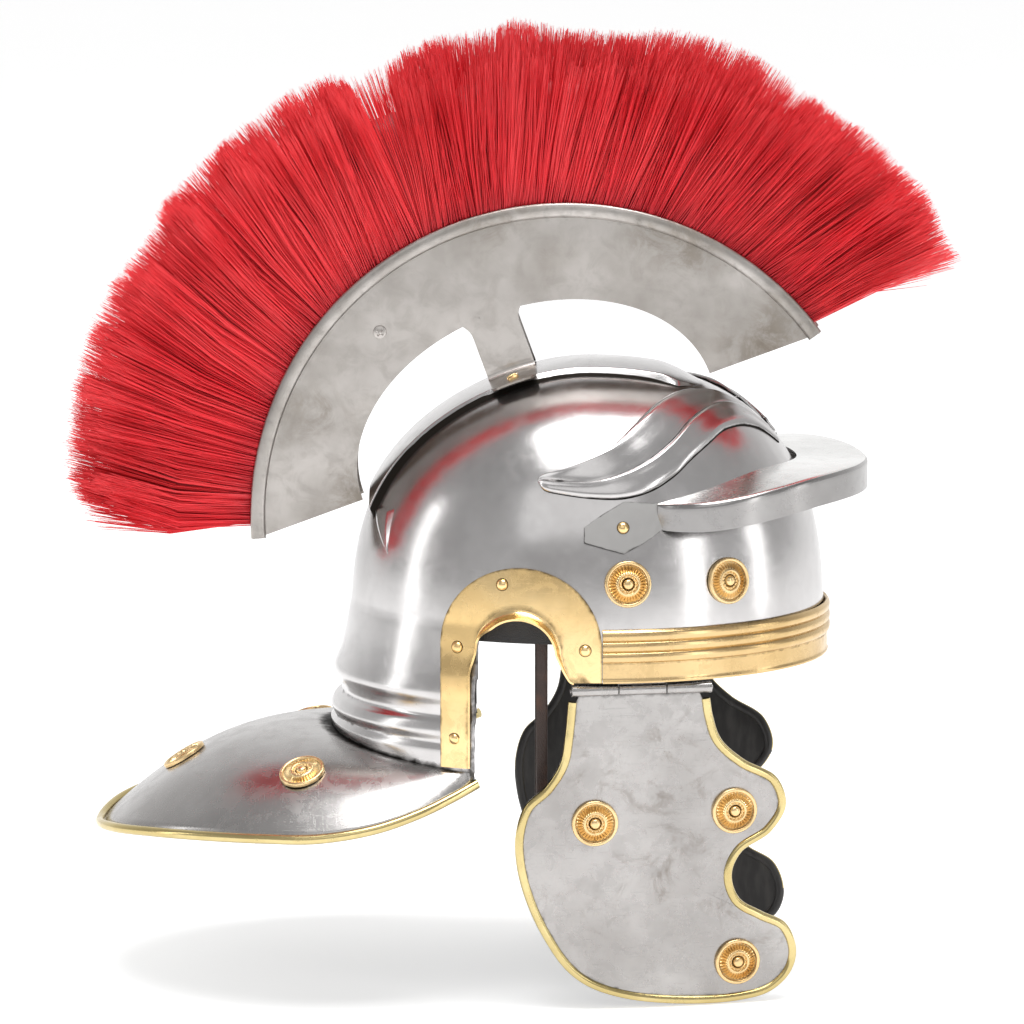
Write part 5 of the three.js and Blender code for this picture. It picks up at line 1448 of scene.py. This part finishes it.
def grow_brush(name, density, seed, thickness, wander, shortest):
    strip = root_strip(name)
    modifier = strip.modifiers.new("bristles", "NODES")
    modifier.node_group = bristles
    set_inputs(modifier, {
        "Hairs per square metre": density, "Seed": seed, "Thickness": thickness, "Wander": wander,
        "Shortest": shortest, "Points": HAIR_POINTS, "Material": red_bristle,
    })
    applied(strip)
    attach(strip, "helmet")
    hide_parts("crest_brush")
    print(name, len(strip.data.polygons), "faces")
    return strip


bristles = bristle_tree()
HAIR_DENSITY = 0.9e6
HAIR_THICKNESS = 0.00032
FIRST_SEED = 3
# Wander of the tips in metres and share of the full length that the shortest hair has, for each piece
BRUSH_PIECES = [(0.012, 0.94), (0.018, 0.92), (0.024, 0.88), (0.014, 0.95)]
for number, (wander, shortest) in enumerate(BRUSH_PIECES):
    grow_brush(f"brush_bristles_{number + 1}", HAIR_DENSITY, number + FIRST_SEED, HAIR_THICKNESS, wander, shortest)

# %% Brush heart


# Painted shade: the heart is a dark body in the bristle's root tone, standing in for the shade deep inside the
# brush.
def make_heart():
    ways = np.linspace(0.004, 0.996, 220)
    around = np.linspace(0, 2 * math.pi, 20, endpoint=False)
    rings = []
    for way in ways:
        depth = 0.72 * (0.5 - 0.5 * np.cos(around))
        across = 0.8 * np.sin(around)
        root, tip = brush_fan(np.full(len(around), way), across, half=TIP_HALF * 0.75)
        rings.append(root + (tip - root) * depth[:, None])
    return rings_mesh(np.stack(rings))


heart_points, heart_faces = make_heart()
heart = make_piece("brush_heart", heart_points, heart_faces, [red_bristle])
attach(heart, "helmet")
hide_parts("crest_brush")

# %% [markdown]
# Cheek guards. Each hangs on a three-knuckle hinge and is drawn in its own plane: s along the hinge,
# d down from it, n outward. The guard's outline is star-shaped, so a polar grid from its middle
# fills it, and the bend function gives it the crease under the hinge and the slight curl.

# %% Cheek guards
HINGE_X = -5
HINGE_Y = 97
HINGE_Z = -4
HINGE_YAW = math.radians(10)
HINGE_RADIUS = 2.85
HINGE_BORE = 1.6
KNUCKLES = (0, 22.6, 45.9, 68)
CHEEK_STEEL = 1.3
CHEEK_ROLL = 2.2
CHEEK_TOP = 5.2
CHEEK_CREASE = 22.8
CHEEK_MIDDLE = (42, 88)
CHEEK_OUTLINE = [
    (-1.7, 5.2), (-3.3, 22), (-5.4, 35), (-12, 46.5), (-21.5, 56), (-25.8, 70), (-25.2, 86), (-20, 105),
    (-10.7, 124.3), (-1, 138), (10, 146.5), (28.4, 153), (58, 156.7), (84.9, 156.3), (100, 152.8), (110, 144),
    (112.9, 132.8), (107.4, 119.2), (95, 112.4), (83.5, 105), (79.6, 93), (84, 82.5), (98.7, 73.1), (106.3, 60),
    (101, 45.7), (84.2, 35.9), (73, 25.5), (68.9, 14.1), (67.4, 5.2),
]
cheek_outline = SmoothCurve([(s, d, 0) for s, d in CHEEK_OUTLINE])


def cheek_point(s, d, n):
    cos, sin = math.cos(HINGE_YAW), math.sin(HINGE_YAW)
    s, d, n = np.broadcast_arrays(s, d, n)
    return stack(HINGE_X + s * cos + n * sin, HINGE_Y - s * sin + n * cos, HINGE_Z - d)


def cheek_bend(s, d):
    below = np.maximum(d - CHEEK_CREASE, 0)
    curl = smoothstep(d, CHEEK_CREASE, 60)
    return -0.05 * below - 5 * ((s - 42) / 70) ** 2 * curl


def outline_inset(inset, count):
    share = np.linspace(0, 1, count)
    place = cheek_outline.at_length(share)
    ahead = cheek_outline.at_length(np.clip(share + 1e-3, 0, 1))
    behind = cheek_outline.at_length(np.clip(share - 1e-3, 0, 1))
    tangent = unit(ahead - behind)
    inset_place = place[:, :2] + np.stack([tangent[:, 1], -tangent[:, 0]], -1) * inset
    return inset_place, tangent[:, :2]


def knuckle(start, end, radius, bore, sides=20):
    turn = np.linspace(0, 2 * math.pi, sides, endpoint=False)
    bevel = 0.25
    profile = [(bore, start), (radius - bevel, start), (radius, start + bevel), (radius, end - bevel),
               (radius - bevel, end), (bore, end)]
    rings = np.stack([cheek_point(s, r * np.sin(turn), r * np.cos(turn)) for r, s in profile])
    return rings_mesh(rings, closed=True)


def cheek_plate():
    outline, _ = outline_inset(CHEEK_ROLL * 2 - 0.6, 420)
    outline[:, 1] = np.maximum(outline[:, 1], CHEEK_TOP)
    top = np.stack([np.linspace(outline[-1, 0], outline[0, 0], 42)[1:-1], np.full(40, 2.4)], -1)
    outline = np.concatenate([outline, top])
    rings = np.linspace(1, 0, 25)[:-1]
    middle = np.array(CHEEK_MIDDLE)
    grid = np.stack([middle + (outline - middle) * ring for ring in rings])
    flat = np.concatenate([grid.reshape(-1, 2), middle[None]])
    dish = 0.15 * np.sin(flat[:, 0] / 13) * np.sin(flat[:, 1] / 17)
    fold = -0.35 * np.exp(-(((flat[:, 1] - CHEEK_CREASE) / 1.2) ** 2))
    bend = cheek_bend(flat[:, 0], flat[:, 1]) + dish + fold
    outer = cheek_point(flat[:, 0], flat[:, 1], bend + CHEEK_STEEL / 2)
    inner = cheek_point(flat[:, 0], flat[:, 1], bend - CHEEK_STEEL / 2)
    count, size = len(rings), len(outline)
    faces = grid_quads(count, size, wrap=True).tolist()
    last = (count - 1) * size
    faces += [[last + i, count * size, last + (i + 1) % size] for i in range(size)]
    total = len(flat)
    back = [[i + total for i in face[::-1]] for face in faces]
    rim = [[(i + 1) % size, i, i + total, (i + 1) % size + total] for i in range(size)]
    points = np.concatenate([outer, inner])
    all_faces = faces + back + rim
    slots = [0] * len(faces) + [1] * len(back) + [0] * len(rim)
    if signed_volume(points, all_faces) < 0:
        all_faces = [face[::-1] for face in all_faces]
    # Painted shade: a dark band along the outline under the brass roll and a fainter line along the crease.
    stain = np.zeros(len(points))
    edge = np.repeat(np.exp(-(((1 - rings) / 0.02) ** 2)), size)
    stain[: len(edge)] = 0.5 * edge
    stain[:total] = np.maximum(stain[:total], 0.3 * np.exp(-(((flat[:, 1] - CHEEK_CREASE) / 1.0) ** 2)))
    return points, all_faces, slots, stain


def cheek_edge():
    path, tangent = outline_inset(CHEEK_ROLL, 420)
    bend = cheek_bend(path[:, 0], path[:, 1])
    centres = cheek_point(path[:, 0], path[:, 1], bend)
    aside = path + np.stack([tangent[:, 1], -tangent[:, 0]], -1)
    across = unit(cheek_point(aside[:, 0], aside[:, 1], cheek_bend(aside[:, 0], aside[:, 1])) - centres)
    ahead = unit(np.gradient(centres, axis=0))
    return rings_mesh(tube_rings(centres, across, unit(np.cross(ahead, across)), CHEEK_ROLL, 14))


def hinge_leaf():
    along = np.linspace(KNUCKLES[1] + 0.6, KNUCKLES[2] - 0.6, 12)
    foot = cheek_point(along, 0, 0)
    rows = [cheek_point(along, -1.9, 0.6)]
    for z in np.linspace(2, 17, 8):
        rows.append(side_point(foot[:, 0], np.full(len(along), z), -STEEL - GAP - 0.5))
    points, faces, _ = wall_mesh(np.stack(rows), 1.1, away_from=BOWL_MIDDLE)
    barrel = knuckle(KNUCKLES[1] + 0.2, KNUCKLES[2] - 0.2, HINGE_RADIUS, HINGE_BORE)
    return joined([(points, faces), barrel])


def add_pair(name, points, faces, materials, nodes, slot, body=None, slots=None, stain=None):
    """Makes the left piece and its mirror image, hangs each on its body and hides the CAD part that it replaces.
    """
    pair = []
    for side in ("left", "right"):
        side_points, side_faces = (points, faces) if side == "left" else mirrored(points, faces)
        piece = make_piece(f"{name}_{side}", side_points, side_faces, materials, slots=slots, stain=stain)
        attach(piece, body or f"{side}_cheek")
        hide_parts(f"{nodes}_{side}")
        pair.append(piece)
    print(name, len(faces), "faces each")
    return pair


guard_points, guard_faces, guard_slots, guard_edge_shade = cheek_plate()
knuckle_parts = [
    knuckle(KNUCKLES[0], KNUCKLES[1] - 0.2, HINGE_RADIUS, HINGE_BORE),
    knuckle(KNUCKLES[2] + 0.2, KNUCKLES[3], HINGE_RADIUS, HINGE_BORE),
]
all_points, all_faces = joined([(guard_points, guard_faces), *knuckle_parts])
extra = len(all_faces) - len(guard_faces)
add_pair("cheek_plate", all_points, all_faces, [guard_steel, black_paint], "cheek_guard", "polished_steel",
         slots=guard_slots + [0] * extra,
         stain=np.concatenate([guard_edge_shade, np.zeros(len(all_points) - len(guard_points))]))
roll_points, roll_faces = cheek_edge()
inward = cheek_point(0, 0, 0) - cheek_point(0, 0, 1)
roll_slots = []
for face in roll_faces:
    corners = roll_points[np.array(face)]
    facing = unit(np.cross(corners[1] - corners[0], corners[2] - corners[0]))
    roll_slots.append(int(np.dot(facing, inward[()]) > 0.35))
add_pair("cheek_roll", roll_points, roll_faces, [rolled_brass, black_paint], "cheek_edge", "rolled_brass",
         slots=roll_slots)
add_pair("hinge_plate", *hinge_leaf(), [guard_steel], "hinge_leaf", "polished_steel", body="helmet")
pin_rings = np.stack([
    cheek_point(s, r * np.sin(np.linspace(0, 2 * math.pi, 16, endpoint=False)),
                r * np.cos(np.linspace(0, 2 * math.pi, 16, endpoint=False)))
    for s, r in ((-0.6, 0.9), (-0.4, 1.2), (68.4, 1.2), (68.6, 0.9))
])
add_pair("hinge_wire", *rings_mesh(pin_rings), [guard_steel], "hinge_pin", "polished_steel", body="helmet")

# %% [markdown]
# Liner and thong. A leather band runs round the inside, and a thong hangs from it as a loop under
# the chin. Both are simple sweeps: the band follows the bowl, the thong its own hanging curve.

# %% Liner and thong
LINER_HIGH = 44
LINER_LOW = 18
LINER_THICKNESS = 2
LINER_GAP = 1
STRAP_X = -19
STRAP_WIDTH = 5.5
STRAP_THICKNESS = 2
STRAP_SIDE = 88.4
STRAP_WAIST = 74
STRAP_WAIST_Z = -72
STRAP_BOTTOM = -114

angles = np.linspace(-math.pi, math.pi, 220, endpoint=False)
z = np.linspace(LINER_HIGH, LINER_LOW, 14)
liner_grid = bowl_point(angles[None, :], z[:, None], -STEEL - LINER_GAP)
liner_points, liner_faces, _ = wall_mesh(liner_grid, LINER_THICKNESS, away_from=BOWL_MIDDLE, wrap=True)
liner = make_piece("leather_liner", liner_points, liner_faces, [black_leather])
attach(liner, "helmet")
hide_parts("liner")


def strap_route():
    turn = np.linspace(0, math.pi / 2, 9)
    fall = (STRAP_WAIST_Z - STRAP_BOTTOM) * np.sin(turn)
    arc = np.stack([STRAP_WAIST * np.cos(turn), STRAP_WAIST_Z - fall], -1)
    upper = np.array([(STRAP_SIDE, 38), (STRAP_SIDE, 14), (STRAP_SIDE - 3, -8), (STRAP_WAIST + 6, -42)])
    half = np.concatenate([upper, arc])
    route = np.concatenate([half, (half[:-1] * (-1, 1))[::-1]])
    return stack(STRAP_X, route[:, 0], route[:, 1])


strap_curve = SmoothCurve(strap_route(), power=0.5)
strap_centres = strap_curve.at_length(np.linspace(0, 1, 200))
strap_across = unit(np.cross(unit(np.gradient(strap_centres, axis=0)), (1, 0, 0)))
corner = np.linspace(0, 2 * math.pi, 16, endpoint=False)
wide = np.sign(np.cos(corner)) * np.abs(np.cos(corner)) ** 0.5
deep = np.sign(np.sin(corner)) * np.abs(np.sin(corner)) ** 0.5
strap_rings = (
    strap_centres[:, None, :]
    + wide[None, :, None] * (STRAP_WIDTH / 2) * np.array([1.0, 0, 0])
    + deep[None, :, None] * (STRAP_THICKNESS / 2) * strap_across[:, None, :]
)
strap = make_piece("chin_thong", *rings_mesh(strap_rings), [brown_leather])
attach(strap, "helmet")
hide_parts("chin_strap")
print("thong length in millimetres:", round(strap_curve.length()))

# %% [markdown]
# Rosettes, rivets and screws. They repeat, so each is modelled once and stamped by one small tree:
# it puts a copy on each point of a bare point mesh and turns it to the direction stored there.

# %% Stamp tree


def stamp_tree():
    tree, enter, leave = group_tree("stamp_on_points", [
        ("Pattern", "NodeSocketObject", None),
        ("Turn range", "NodeSocketFloat", 0.4),
        ("Seed", "NodeSocketInt", 2),
        ("Material", "NodeSocketMaterial", None),
    ])
    n = Nodes(tree)
    facing = n.stored("facing", "FLOAT_VECTOR")
    pattern = n.add("GeometryNodeObjectInfo", Object=enter.outputs["Pattern"]).outputs["Geometry"]
    turn = n.add("FunctionNodeAlignRotationToVector", {"axis": "Z"}, Vector=facing).outputs["Rotation"]
    placed = n.add("GeometryNodeInstanceOnPoints", Points=enter.outputs["Geometry"], Instance=pattern,
                   Rotation=turn)
    spin = n.add("FunctionNodeRandomValue", {"data_type": "FLOAT"}, Min=0.0, Max=enter.outputs["Turn range"],
                 Seed=enter.outputs["Seed"])
    spun = n.add("ShaderNodeCombineXYZ", X=0.0, Y=0.0, Z=spin.outputs[1]).outputs["Vector"]
    turned = n.add("GeometryNodeRotateInstances", Instances=placed.outputs["Instances"], Rotation=spun)
    real = n.add("GeometryNodeRealizeInstances", Geometry=turned.outputs["Instances"])
    finished = n.add("GeometryNodeSetMaterial", Geometry=real.outputs["Geometry"],
                     Material=enter.outputs["Material"])
    tree.links.new(finished.outputs["Geometry"], leave.inputs[0])
    return tree


stamps = stamp_tree()


def turned_pattern(name, radii, heights, sides, ripple=None):
    """A lathe-turned pattern about z, in millimetres, with an optional ripple of its height."""
    turn = np.linspace(0, 2 * math.pi, sides, endpoint=False)
    r = np.asarray(radii)[:, None]
    height = np.asarray(heights)[:, None] + (ripple(r, turn[None, :]) if ripple else 0)
    top = stack(r * np.cos(turn), r * np.sin(turn), height + 0 * turn)
    foot = stack(radii[0] * np.cos(turn), radii[0] * np.sin(turn), 0)[None]
    points = np.concatenate([foot, top]).reshape(-1, 3)
    centre = len(points)
    points = np.concatenate([points, [[0, 0, heights[-1]], [0, 0, 0]]])
    rows = len(top) + 1
    faces = grid_quads(rows, sides, wrap=True).tolist()
    last = (rows - 1) * sides
    faces += [[last + i, centre, last + (i + 1) % sides] for i in range(sides)]
    faces += [[(i + 1) % sides, centre + 1, i] for i in range(sides)]
    if signed_volume(points, faces) < 0:
        faces = [face[::-1] for face in faces]
    mesh = bpy.data.meshes.new(name)
    mesh.from_pydata((points * MM).tolist(), [], faces)
    mesh.attributes.new("stain", "FLOAT", "POINT")
    mesh.shade_smooth()
    mesh.set_sharp_from_angle(angle=math.radians(50))
    pattern = bpy.data.objects.new(name, mesh)
    bpy.context.scene.collection.objects.link(pattern)
    return pattern


def stamp(name, pattern, places, facings, material, body, nodes, turn_range=0.4, seed=2):
    points = bpy.data.meshes.new(name)
    points.from_pydata(((np.asarray(places) + SHIFT) * MM).tolist(), [], [])
    facing = points.attributes.new("facing", "FLOAT_VECTOR", "POINT")
    facing.data.foreach_set("vector", np.asarray(facings, np.float32).ravel())
    piece = bpy.data.objects.new(name, points)
    bpy.context.scene.collection.objects.link(piece)
    modifier = piece.modifiers.new("stamps", "NODES")
    modifier.node_group = stamps
    set_inputs(modifier, {"Pattern": pattern, "Turn range": turn_range, "Seed": seed, "Material": material})
    applied(piece)
    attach(piece, body)
    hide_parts(*nodes)
    print(name, len(places), "copies,", len(piece.data.polygons), "faces")
    return piece


# %% [markdown]
# The rosette is a casting: a plain rim, a dished ring of fluting, a ring of beads and a domed stud.
# Ripples of the height round the circle make the fluting and the beads.

# %% Rosettes
FLUTES = 32
BEADS = 14


def rosette_ripple(r, turn):
    fluting = 0.6 * np.clip(1 - ((r - 7.4) / 1.9) ** 4, 0, 1) * np.cos(turn * FLUTES)
    bead_rise = 0.6 * np.clip(1 - ((r - 3.6) / 0.65) ** 2, 0, 1) * (0.5 + 0.5 * np.cos(turn * BEADS))
    return fluting + bead_rise


ROSETTE_PROFILE = [
    (11.2, 1.0), (11.15, 1.45), (10.9, 1.8), (10.5, 2.0), (10.0, 1.98), (9.6, 1.8), (9.4, 1.5), (9.3, 1.1),
    (9.15, 0.95), (8.8, 1.0), (8.3, 1.1), (7.8, 1.25), (7.3, 1.42), (6.8, 1.62), (6.3, 1.85), (5.8, 2.1),
    (5.5, 2.35), (5.2, 2.55), (4.9, 2.6), (4.6, 2.5), (4.4, 2.2), (4.25, 1.9), (4.0, 1.85), (3.8, 1.9),
    (3.6, 1.95), (3.4, 1.9), (3.2, 1.8), (3.0, 1.6), (2.8, 1.5), (2.65, 1.6), (2.5, 2.1), (2.3, 2.6),
    (2.0, 3.0), (1.5, 3.3), (0.8, 3.45), (0.3, 3.5),
]
rosette_radii, rosette_heights = (list(column) for column in zip(*ROSETTE_PROFILE))
rosette = turned_pattern("rosette_pattern", rosette_radii, rosette_heights, 4 * FLUTES, rosette_ripple)
rosette_places = np.array([v.co[:] for v in rosette.data.vertices]) / MM
radius_of = np.hypot(rosette_places[:, 0], rosette_places[:, 1])
turn_of = np.arctan2(rosette_places[:, 1], rosette_places[:, 0])
# Painted shade: dark in the grooves of the fluting, at the step inside the rim, at the drop inside the smooth ring
# and in the gap round the stud.
rosette_groove_shade = 0.42 * np.exp(-(((radius_of - 7.4) / 1.6) ** 4)) * (0.5 - 0.5 * np.cos(turn_of * FLUTES))
for dark_radius, width, strength in ((9.2, 0.2, 0.6), (4.15, 0.2, 0.45), (2.9, 0.3, 0.8)):
    rosette_groove_shade = np.maximum(rosette_groove_shade, strength * np.exp(-(((radius_of - dark_radius) / width) ** 2)))
rosette.data.attributes["stain"].data.foreach_set("value", rosette_groove_shade.astype(np.float32))

BROW_ROSETTES = {"rear": (21.7, 47.3), "front": (69.8, 46.3)}
NECK_SIDE = (-134, 72.5)
NECK_CENTRE_X = -195
CHEEK_ROSETTES = {"rear": (11.9, 65), "front": (80.1, 61.3), "chin": (82.8, 136.5)}


def flip_y(vector):
    return np.asarray(vector) * (1, -1, 1)


def neck_seat(x, y):
    """Point and normal of the neck guard above a place in plan, found on a fine grid."""
    angle = np.linspace(NAPE_START, math.pi, 240)
    step = np.linspace(0, 1, 160)
    grid = neck_point(angle[None, :], step[:, None])
    near = np.hypot(grid[..., 0] - x, grid[..., 1] - y)
    row, column = np.unravel_index(np.argmin(near), near.shape)
    normal = grid_normals(grid, towards=(0, 0, 1))[row, min(column, 238)]
    return grid[row, column], normal


helmet_places = []
helmet_facings = []
helmet_nodes = []
for label, (x, z_at) in BROW_ROSETTES.items():
    point, normal = side_point(x, z_at), side_normal(x, z_at)
    for side, flip in (("left", False), ("right", True)):
        helmet_places.append(flip_y(point) if flip else point)
        helmet_facings.append(flip_y(normal) if flip else normal)
        helmet_nodes.append(f"brow_rosette_{label}_{side}")
point, normal = neck_seat(*NECK_SIDE)
helmet_places += [point, flip_y(point)]
helmet_facings += [normal, flip_y(normal)]
helmet_nodes += ["neck_rosette_left", "neck_rosette_right"]
back_step = (abs(NECK_CENTRE_X) - 123) / 111
back = neck_point(np.full(3, math.pi), np.array([back_step - 0.02, back_step, back_step + 0.02]))
helmet_places.append(back[1])
helmet_facings.append(unit(np.array([(back[2] - back[0])[2], 0, -(back[2] - back[0])[0]])))
helmet_nodes.append("neck_rosette_centre")
helmet_places = [p + n * 0.1 for p, n in zip(helmet_places, helmet_facings)]
stamp("helmet_rosettes", rosette, helmet_places, helmet_facings, cast_brass, "helmet", helmet_nodes)


def cheek_normal(s, d):
    along = cheek_point(s + 2, d, cheek_bend(s + 2, d)) - cheek_point(s - 2, d, cheek_bend(s - 2, d))
    down = cheek_point(s, d + 2, cheek_bend(s, d + 2)) - cheek_point(s, d - 2, cheek_bend(s, d - 2))
    normal = unit(np.cross(along, down))
    return normal if normal[1] > 0 else -normal


for side in ("left", "right"):
    places = []
    facings = []
    for s, d in CHEEK_ROSETTES.values():
        point = cheek_point(s, d, cheek_bend(s, d) + CHEEK_STEEL / 2 + 0.1)
        normal = cheek_normal(s, d)
        places.append(point if side == "left" else flip_y(point))
        facings.append(normal if side == "left" else flip_y(normal))
    names = [f"cheek_rosette_{label}_{side}" for label in CHEEK_ROSETTES]
    stamp(f"cheek_rosettes_{side}", rosette, places, facings, cast_brass, f"{side}_cheek", names,
          seed=5)

# %% [markdown]
# Rivets and screws. The ear trims and the peak are held by small domed brass rivets, the crest box
# by a cross-head steel screw on each side and a slotted brass screw through each tab.

# %% Rivets and screws
TRIM_RIVETS = [(-38, 46.5), (-59.5, 15.2), (-60.9, -29), (1.5, 16)]
PEAK_RIVET = (19.5, 74)
SCREW_B = -53.5
SCREW_N = 74.3

dome_turn = np.linspace(0, math.pi / 2, 9)
rivet_radii = [3.05, 2.8, *(2.6 * np.cos(dome_turn[:-1]) + 0.05)]
rivet_heights = [0.05, 0.1, *(1.7 * np.sin(dome_turn[:-1]) + 0.1)]
rivet = turned_pattern("rivet_pattern", rivet_radii, rivet_heights, 28)
# Painted shade: a dark ring round the foot of each rivet.
for vertex, value in zip(rivet.data.vertices, rivet.data.attributes["stain"].data):
    value.value = 1.0 if math.hypot(vertex.co.x, vertex.co.y) > 2.7 * MM else 0.0
rivet_places = []
rivet_facings = []
rivet_nodes = []
for number, (x, z_at) in enumerate(TRIM_RIVETS):
    point = side_point(x, z_at, TRIM_OVER + TRIM_THICKNESS)
    normal = side_normal(x, z_at)
    rivet_places += [point, flip_y(point)]
    rivet_facings += [normal, flip_y(normal)]
    rivet_nodes += [f"trim_rivet_{number + 1}_left", f"trim_rivet_{number + 1}_right"]
point = side_point(*PEAK_RIVET, PLATE_OVER)
normal = side_normal(*PEAK_RIVET)
rivet_places += [point, flip_y(point)]
rivet_facings += [normal, flip_y(normal)]
rivet_nodes += ["visor_rivet_left", "visor_rivet_right"]
stamp("brass_rivets", rivet, rivet_places, rivet_facings, sheet_brass, "helmet", rivet_nodes)


def slotted(pattern, radius, slot_width, slot_depth, arms):
    """Presses a driver slot into a screw head by lowering the points inside it."""
    for vertex in pattern.data.vertices:
        x, y = vertex.co.x / MM, vertex.co.y / MM
        inside = any(
            abs(x * math.sin(a) - y * math.cos(a)) < slot_width / 2
            and abs(x * math.cos(a) + y * math.sin(a)) < radius
            for a in arms
        )
        if inside and vertex.co.z > 0.3 * MM:
            vertex.co.z -= slot_depth * MM


head_radii = [3.3, 3.25, 3.1, *np.linspace(2.9, 0.15, 22)]
head_heights = [0.1, 0.6, 0.95, *(0.95 + 0.55 * (1 - (np.linspace(2.9, 0.15, 22) / 2.9) ** 2))]
cross_screw = turned_pattern("cross_screw_pattern", head_radii, head_heights, 72)
slotted(cross_screw, 1.9, 0.75, 0.8, (0.5, 0.5 + math.pi / 2))
screw_seat = crest_point(SCREW_B, SCREW_N, BOX_HALF)
stamp("crest_screws", cross_screw, [screw_seat, flip_y(screw_seat)], [(0, 1, 0), (0, -1, 0)], crest_steel,
      "helmet", ["crest_screw_left", "crest_screw_right"], turn_range=0.9)

tab_radii = [2.9, 2.85, 2.7, *np.linspace(2.5, 0.15, 20)]
tab_heights = [0.1, 0.7, 1.2, *(1.2 + 0.6 * (1 - (np.linspace(2.5, 0.15, 20) / 2.5) ** 2))]
slot_screw = turned_pattern("slot_screw_pattern", tab_radii, tab_heights, 72)
slotted(slot_screw, 2.9, 0.7, 0.9, (0.2,))
tab_y = 23.0
tab_base = crest_point(0, 0, tab_y)
tab_n = 30.0
for _ in range(30):
    tab_base = crest_point(0, tab_n, tab_y)
    tab_n += (float(top_height(tab_base[0], tab_y)) + RIDGE_HEIGHT + GAP + 1.3 - tab_base[2]) * 0.8
tab_facing = unit(np.array([-0.33, 0.27, 0.9]))
stamp("tab_screws", slot_screw, [tab_base, flip_y(tab_base)], [tab_facing, flip_y(tab_facing)], sheet_brass,
      "helmet", ["crest_screw_left", "crest_screw_right"], turn_range=0.3)
for pattern in (rosette, rivet, cross_screw, slot_screw):
    bpy.data.objects.remove(pattern)

# %% [markdown]
# Studio. Steel shows what stands round it, so the light matters more than the paint: a pale floor,
# a grey sky and large soft boxes give the broad white highlights and the grey bands between them.

# %% Floor and light
low_corner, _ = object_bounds()
floor_mesh = bpy.data.meshes.new("studio_floor")
FLOOR_HALF = 30
floor_z = low_corner[2] - 0.0005
floor_mesh.from_pydata(
    [(-FLOOR_HALF, -FLOOR_HALF, floor_z), (FLOOR_HALF, -FLOOR_HALF, floor_z),
     (FLOOR_HALF, FLOOR_HALF, floor_z), (-FLOOR_HALF, FLOOR_HALF, floor_z)], [], [(0, 1, 2, 3)])
floor = bpy.data.objects.new("studio_floor", floor_mesh)
bpy.context.scene.collection.objects.link(floor)
floor_finish = Finish("pale_floor")
floor_grain = floor_finish.noise(6, 3)
floor_colour = floor_finish.mix(floor_grain, (0.86, 0.86, 0.86), (0.88, 0.88, 0.88))
floor_finish.set(Base_Color=floor_colour, Roughness=0.7)
floor_finish.shader.inputs["Emission Color"].default_value = (1, 1, 1, 1)
floor_finish.shader.inputs["Emission Strength"].default_value = 0.48
floor_mesh.materials.append(floor_finish.material)

world = bpy.data.worlds.new("studio_sky")
bpy.context.scene.world = world
world.use_nodes = True
sky = world.node_tree
background = sky.nodes["Background"]
direction = sky.nodes.new("ShaderNodeTexCoord").outputs["Generated"]
split = sky.nodes.new("ShaderNodeSeparateXYZ")
sky.links.new(direction, split.inputs["Vector"])
ramp = sky.nodes.new("ShaderNodeValToRGB")
for position, value in ((0.0, 0.9), (0.52, 0.66), (0.6, 0.6), (1.0, 0.46)):
    if position in (0.0, 1.0):
        element = ramp.color_ramp.elements[int(position)]
    else:
        element = ramp.color_ramp.elements.new(position)
    element.position = position
    element.color = (value, value, value, 1)
shifted = sky.nodes.new("ShaderNodeMapRange")
shifted.inputs["From Min"].default_value = -1
sky.links.new(split.outputs["Z"], shifted.inputs["Value"])
sky.links.new(shifted.outputs["Result"], ramp.inputs["Fac"])
sky.links.new(ramp.outputs["Color"], background.inputs["Color"])
behind = sky.nodes.new("ShaderNodeMapRange")
behind.inputs["From Min"].default_value = 0.2
behind.inputs["From Max"].default_value = 0.9
behind.inputs["To Min"].default_value = 0.8
behind.inputs["To Max"].default_value = 1.7
sky.links.new(split.outputs["Y"], behind.inputs["Value"])
sky.links.new(behind.outputs["Result"], background.inputs["Strength"])


def soft_box(name, place, aim, size, power):
    light = bpy.data.lights.new(name, "AREA")
    light.shape = "RECTANGLE"
    light.size, light.size_y = size
    light.energy = power
    lamp = bpy.data.objects.new(name, light)
    lamp.location = place
    lamp.rotation_euler = (Vector(aim) - Vector(place)).to_track_quat("-Z", "Y").to_euler()
    bpy.context.scene.collection.objects.link(lamp)


soft_box("top_box", (0.1, -0.5, 2.2), (0, 0, 0), (1.7, 1.3), 50)
soft_box("rear_strip", (-2.2, -0.2, 0.25), (0, 0, -0.05), (0.3, 1.5), 3.5)
soft_box("front_strip", (1.65, -1.6, 0.3), (0, 0, -0.05), (0.35, 1.5), 5)
soft_box("brow_strip", (2.2, -0.3, 0.2), (0, 0, -0.05), (0.3, 1.4), 3.5)
soft_box("fill_box", (-0.3, -3.0, 1.9), (0, 0, 0), (3.2, 1.8), 12)
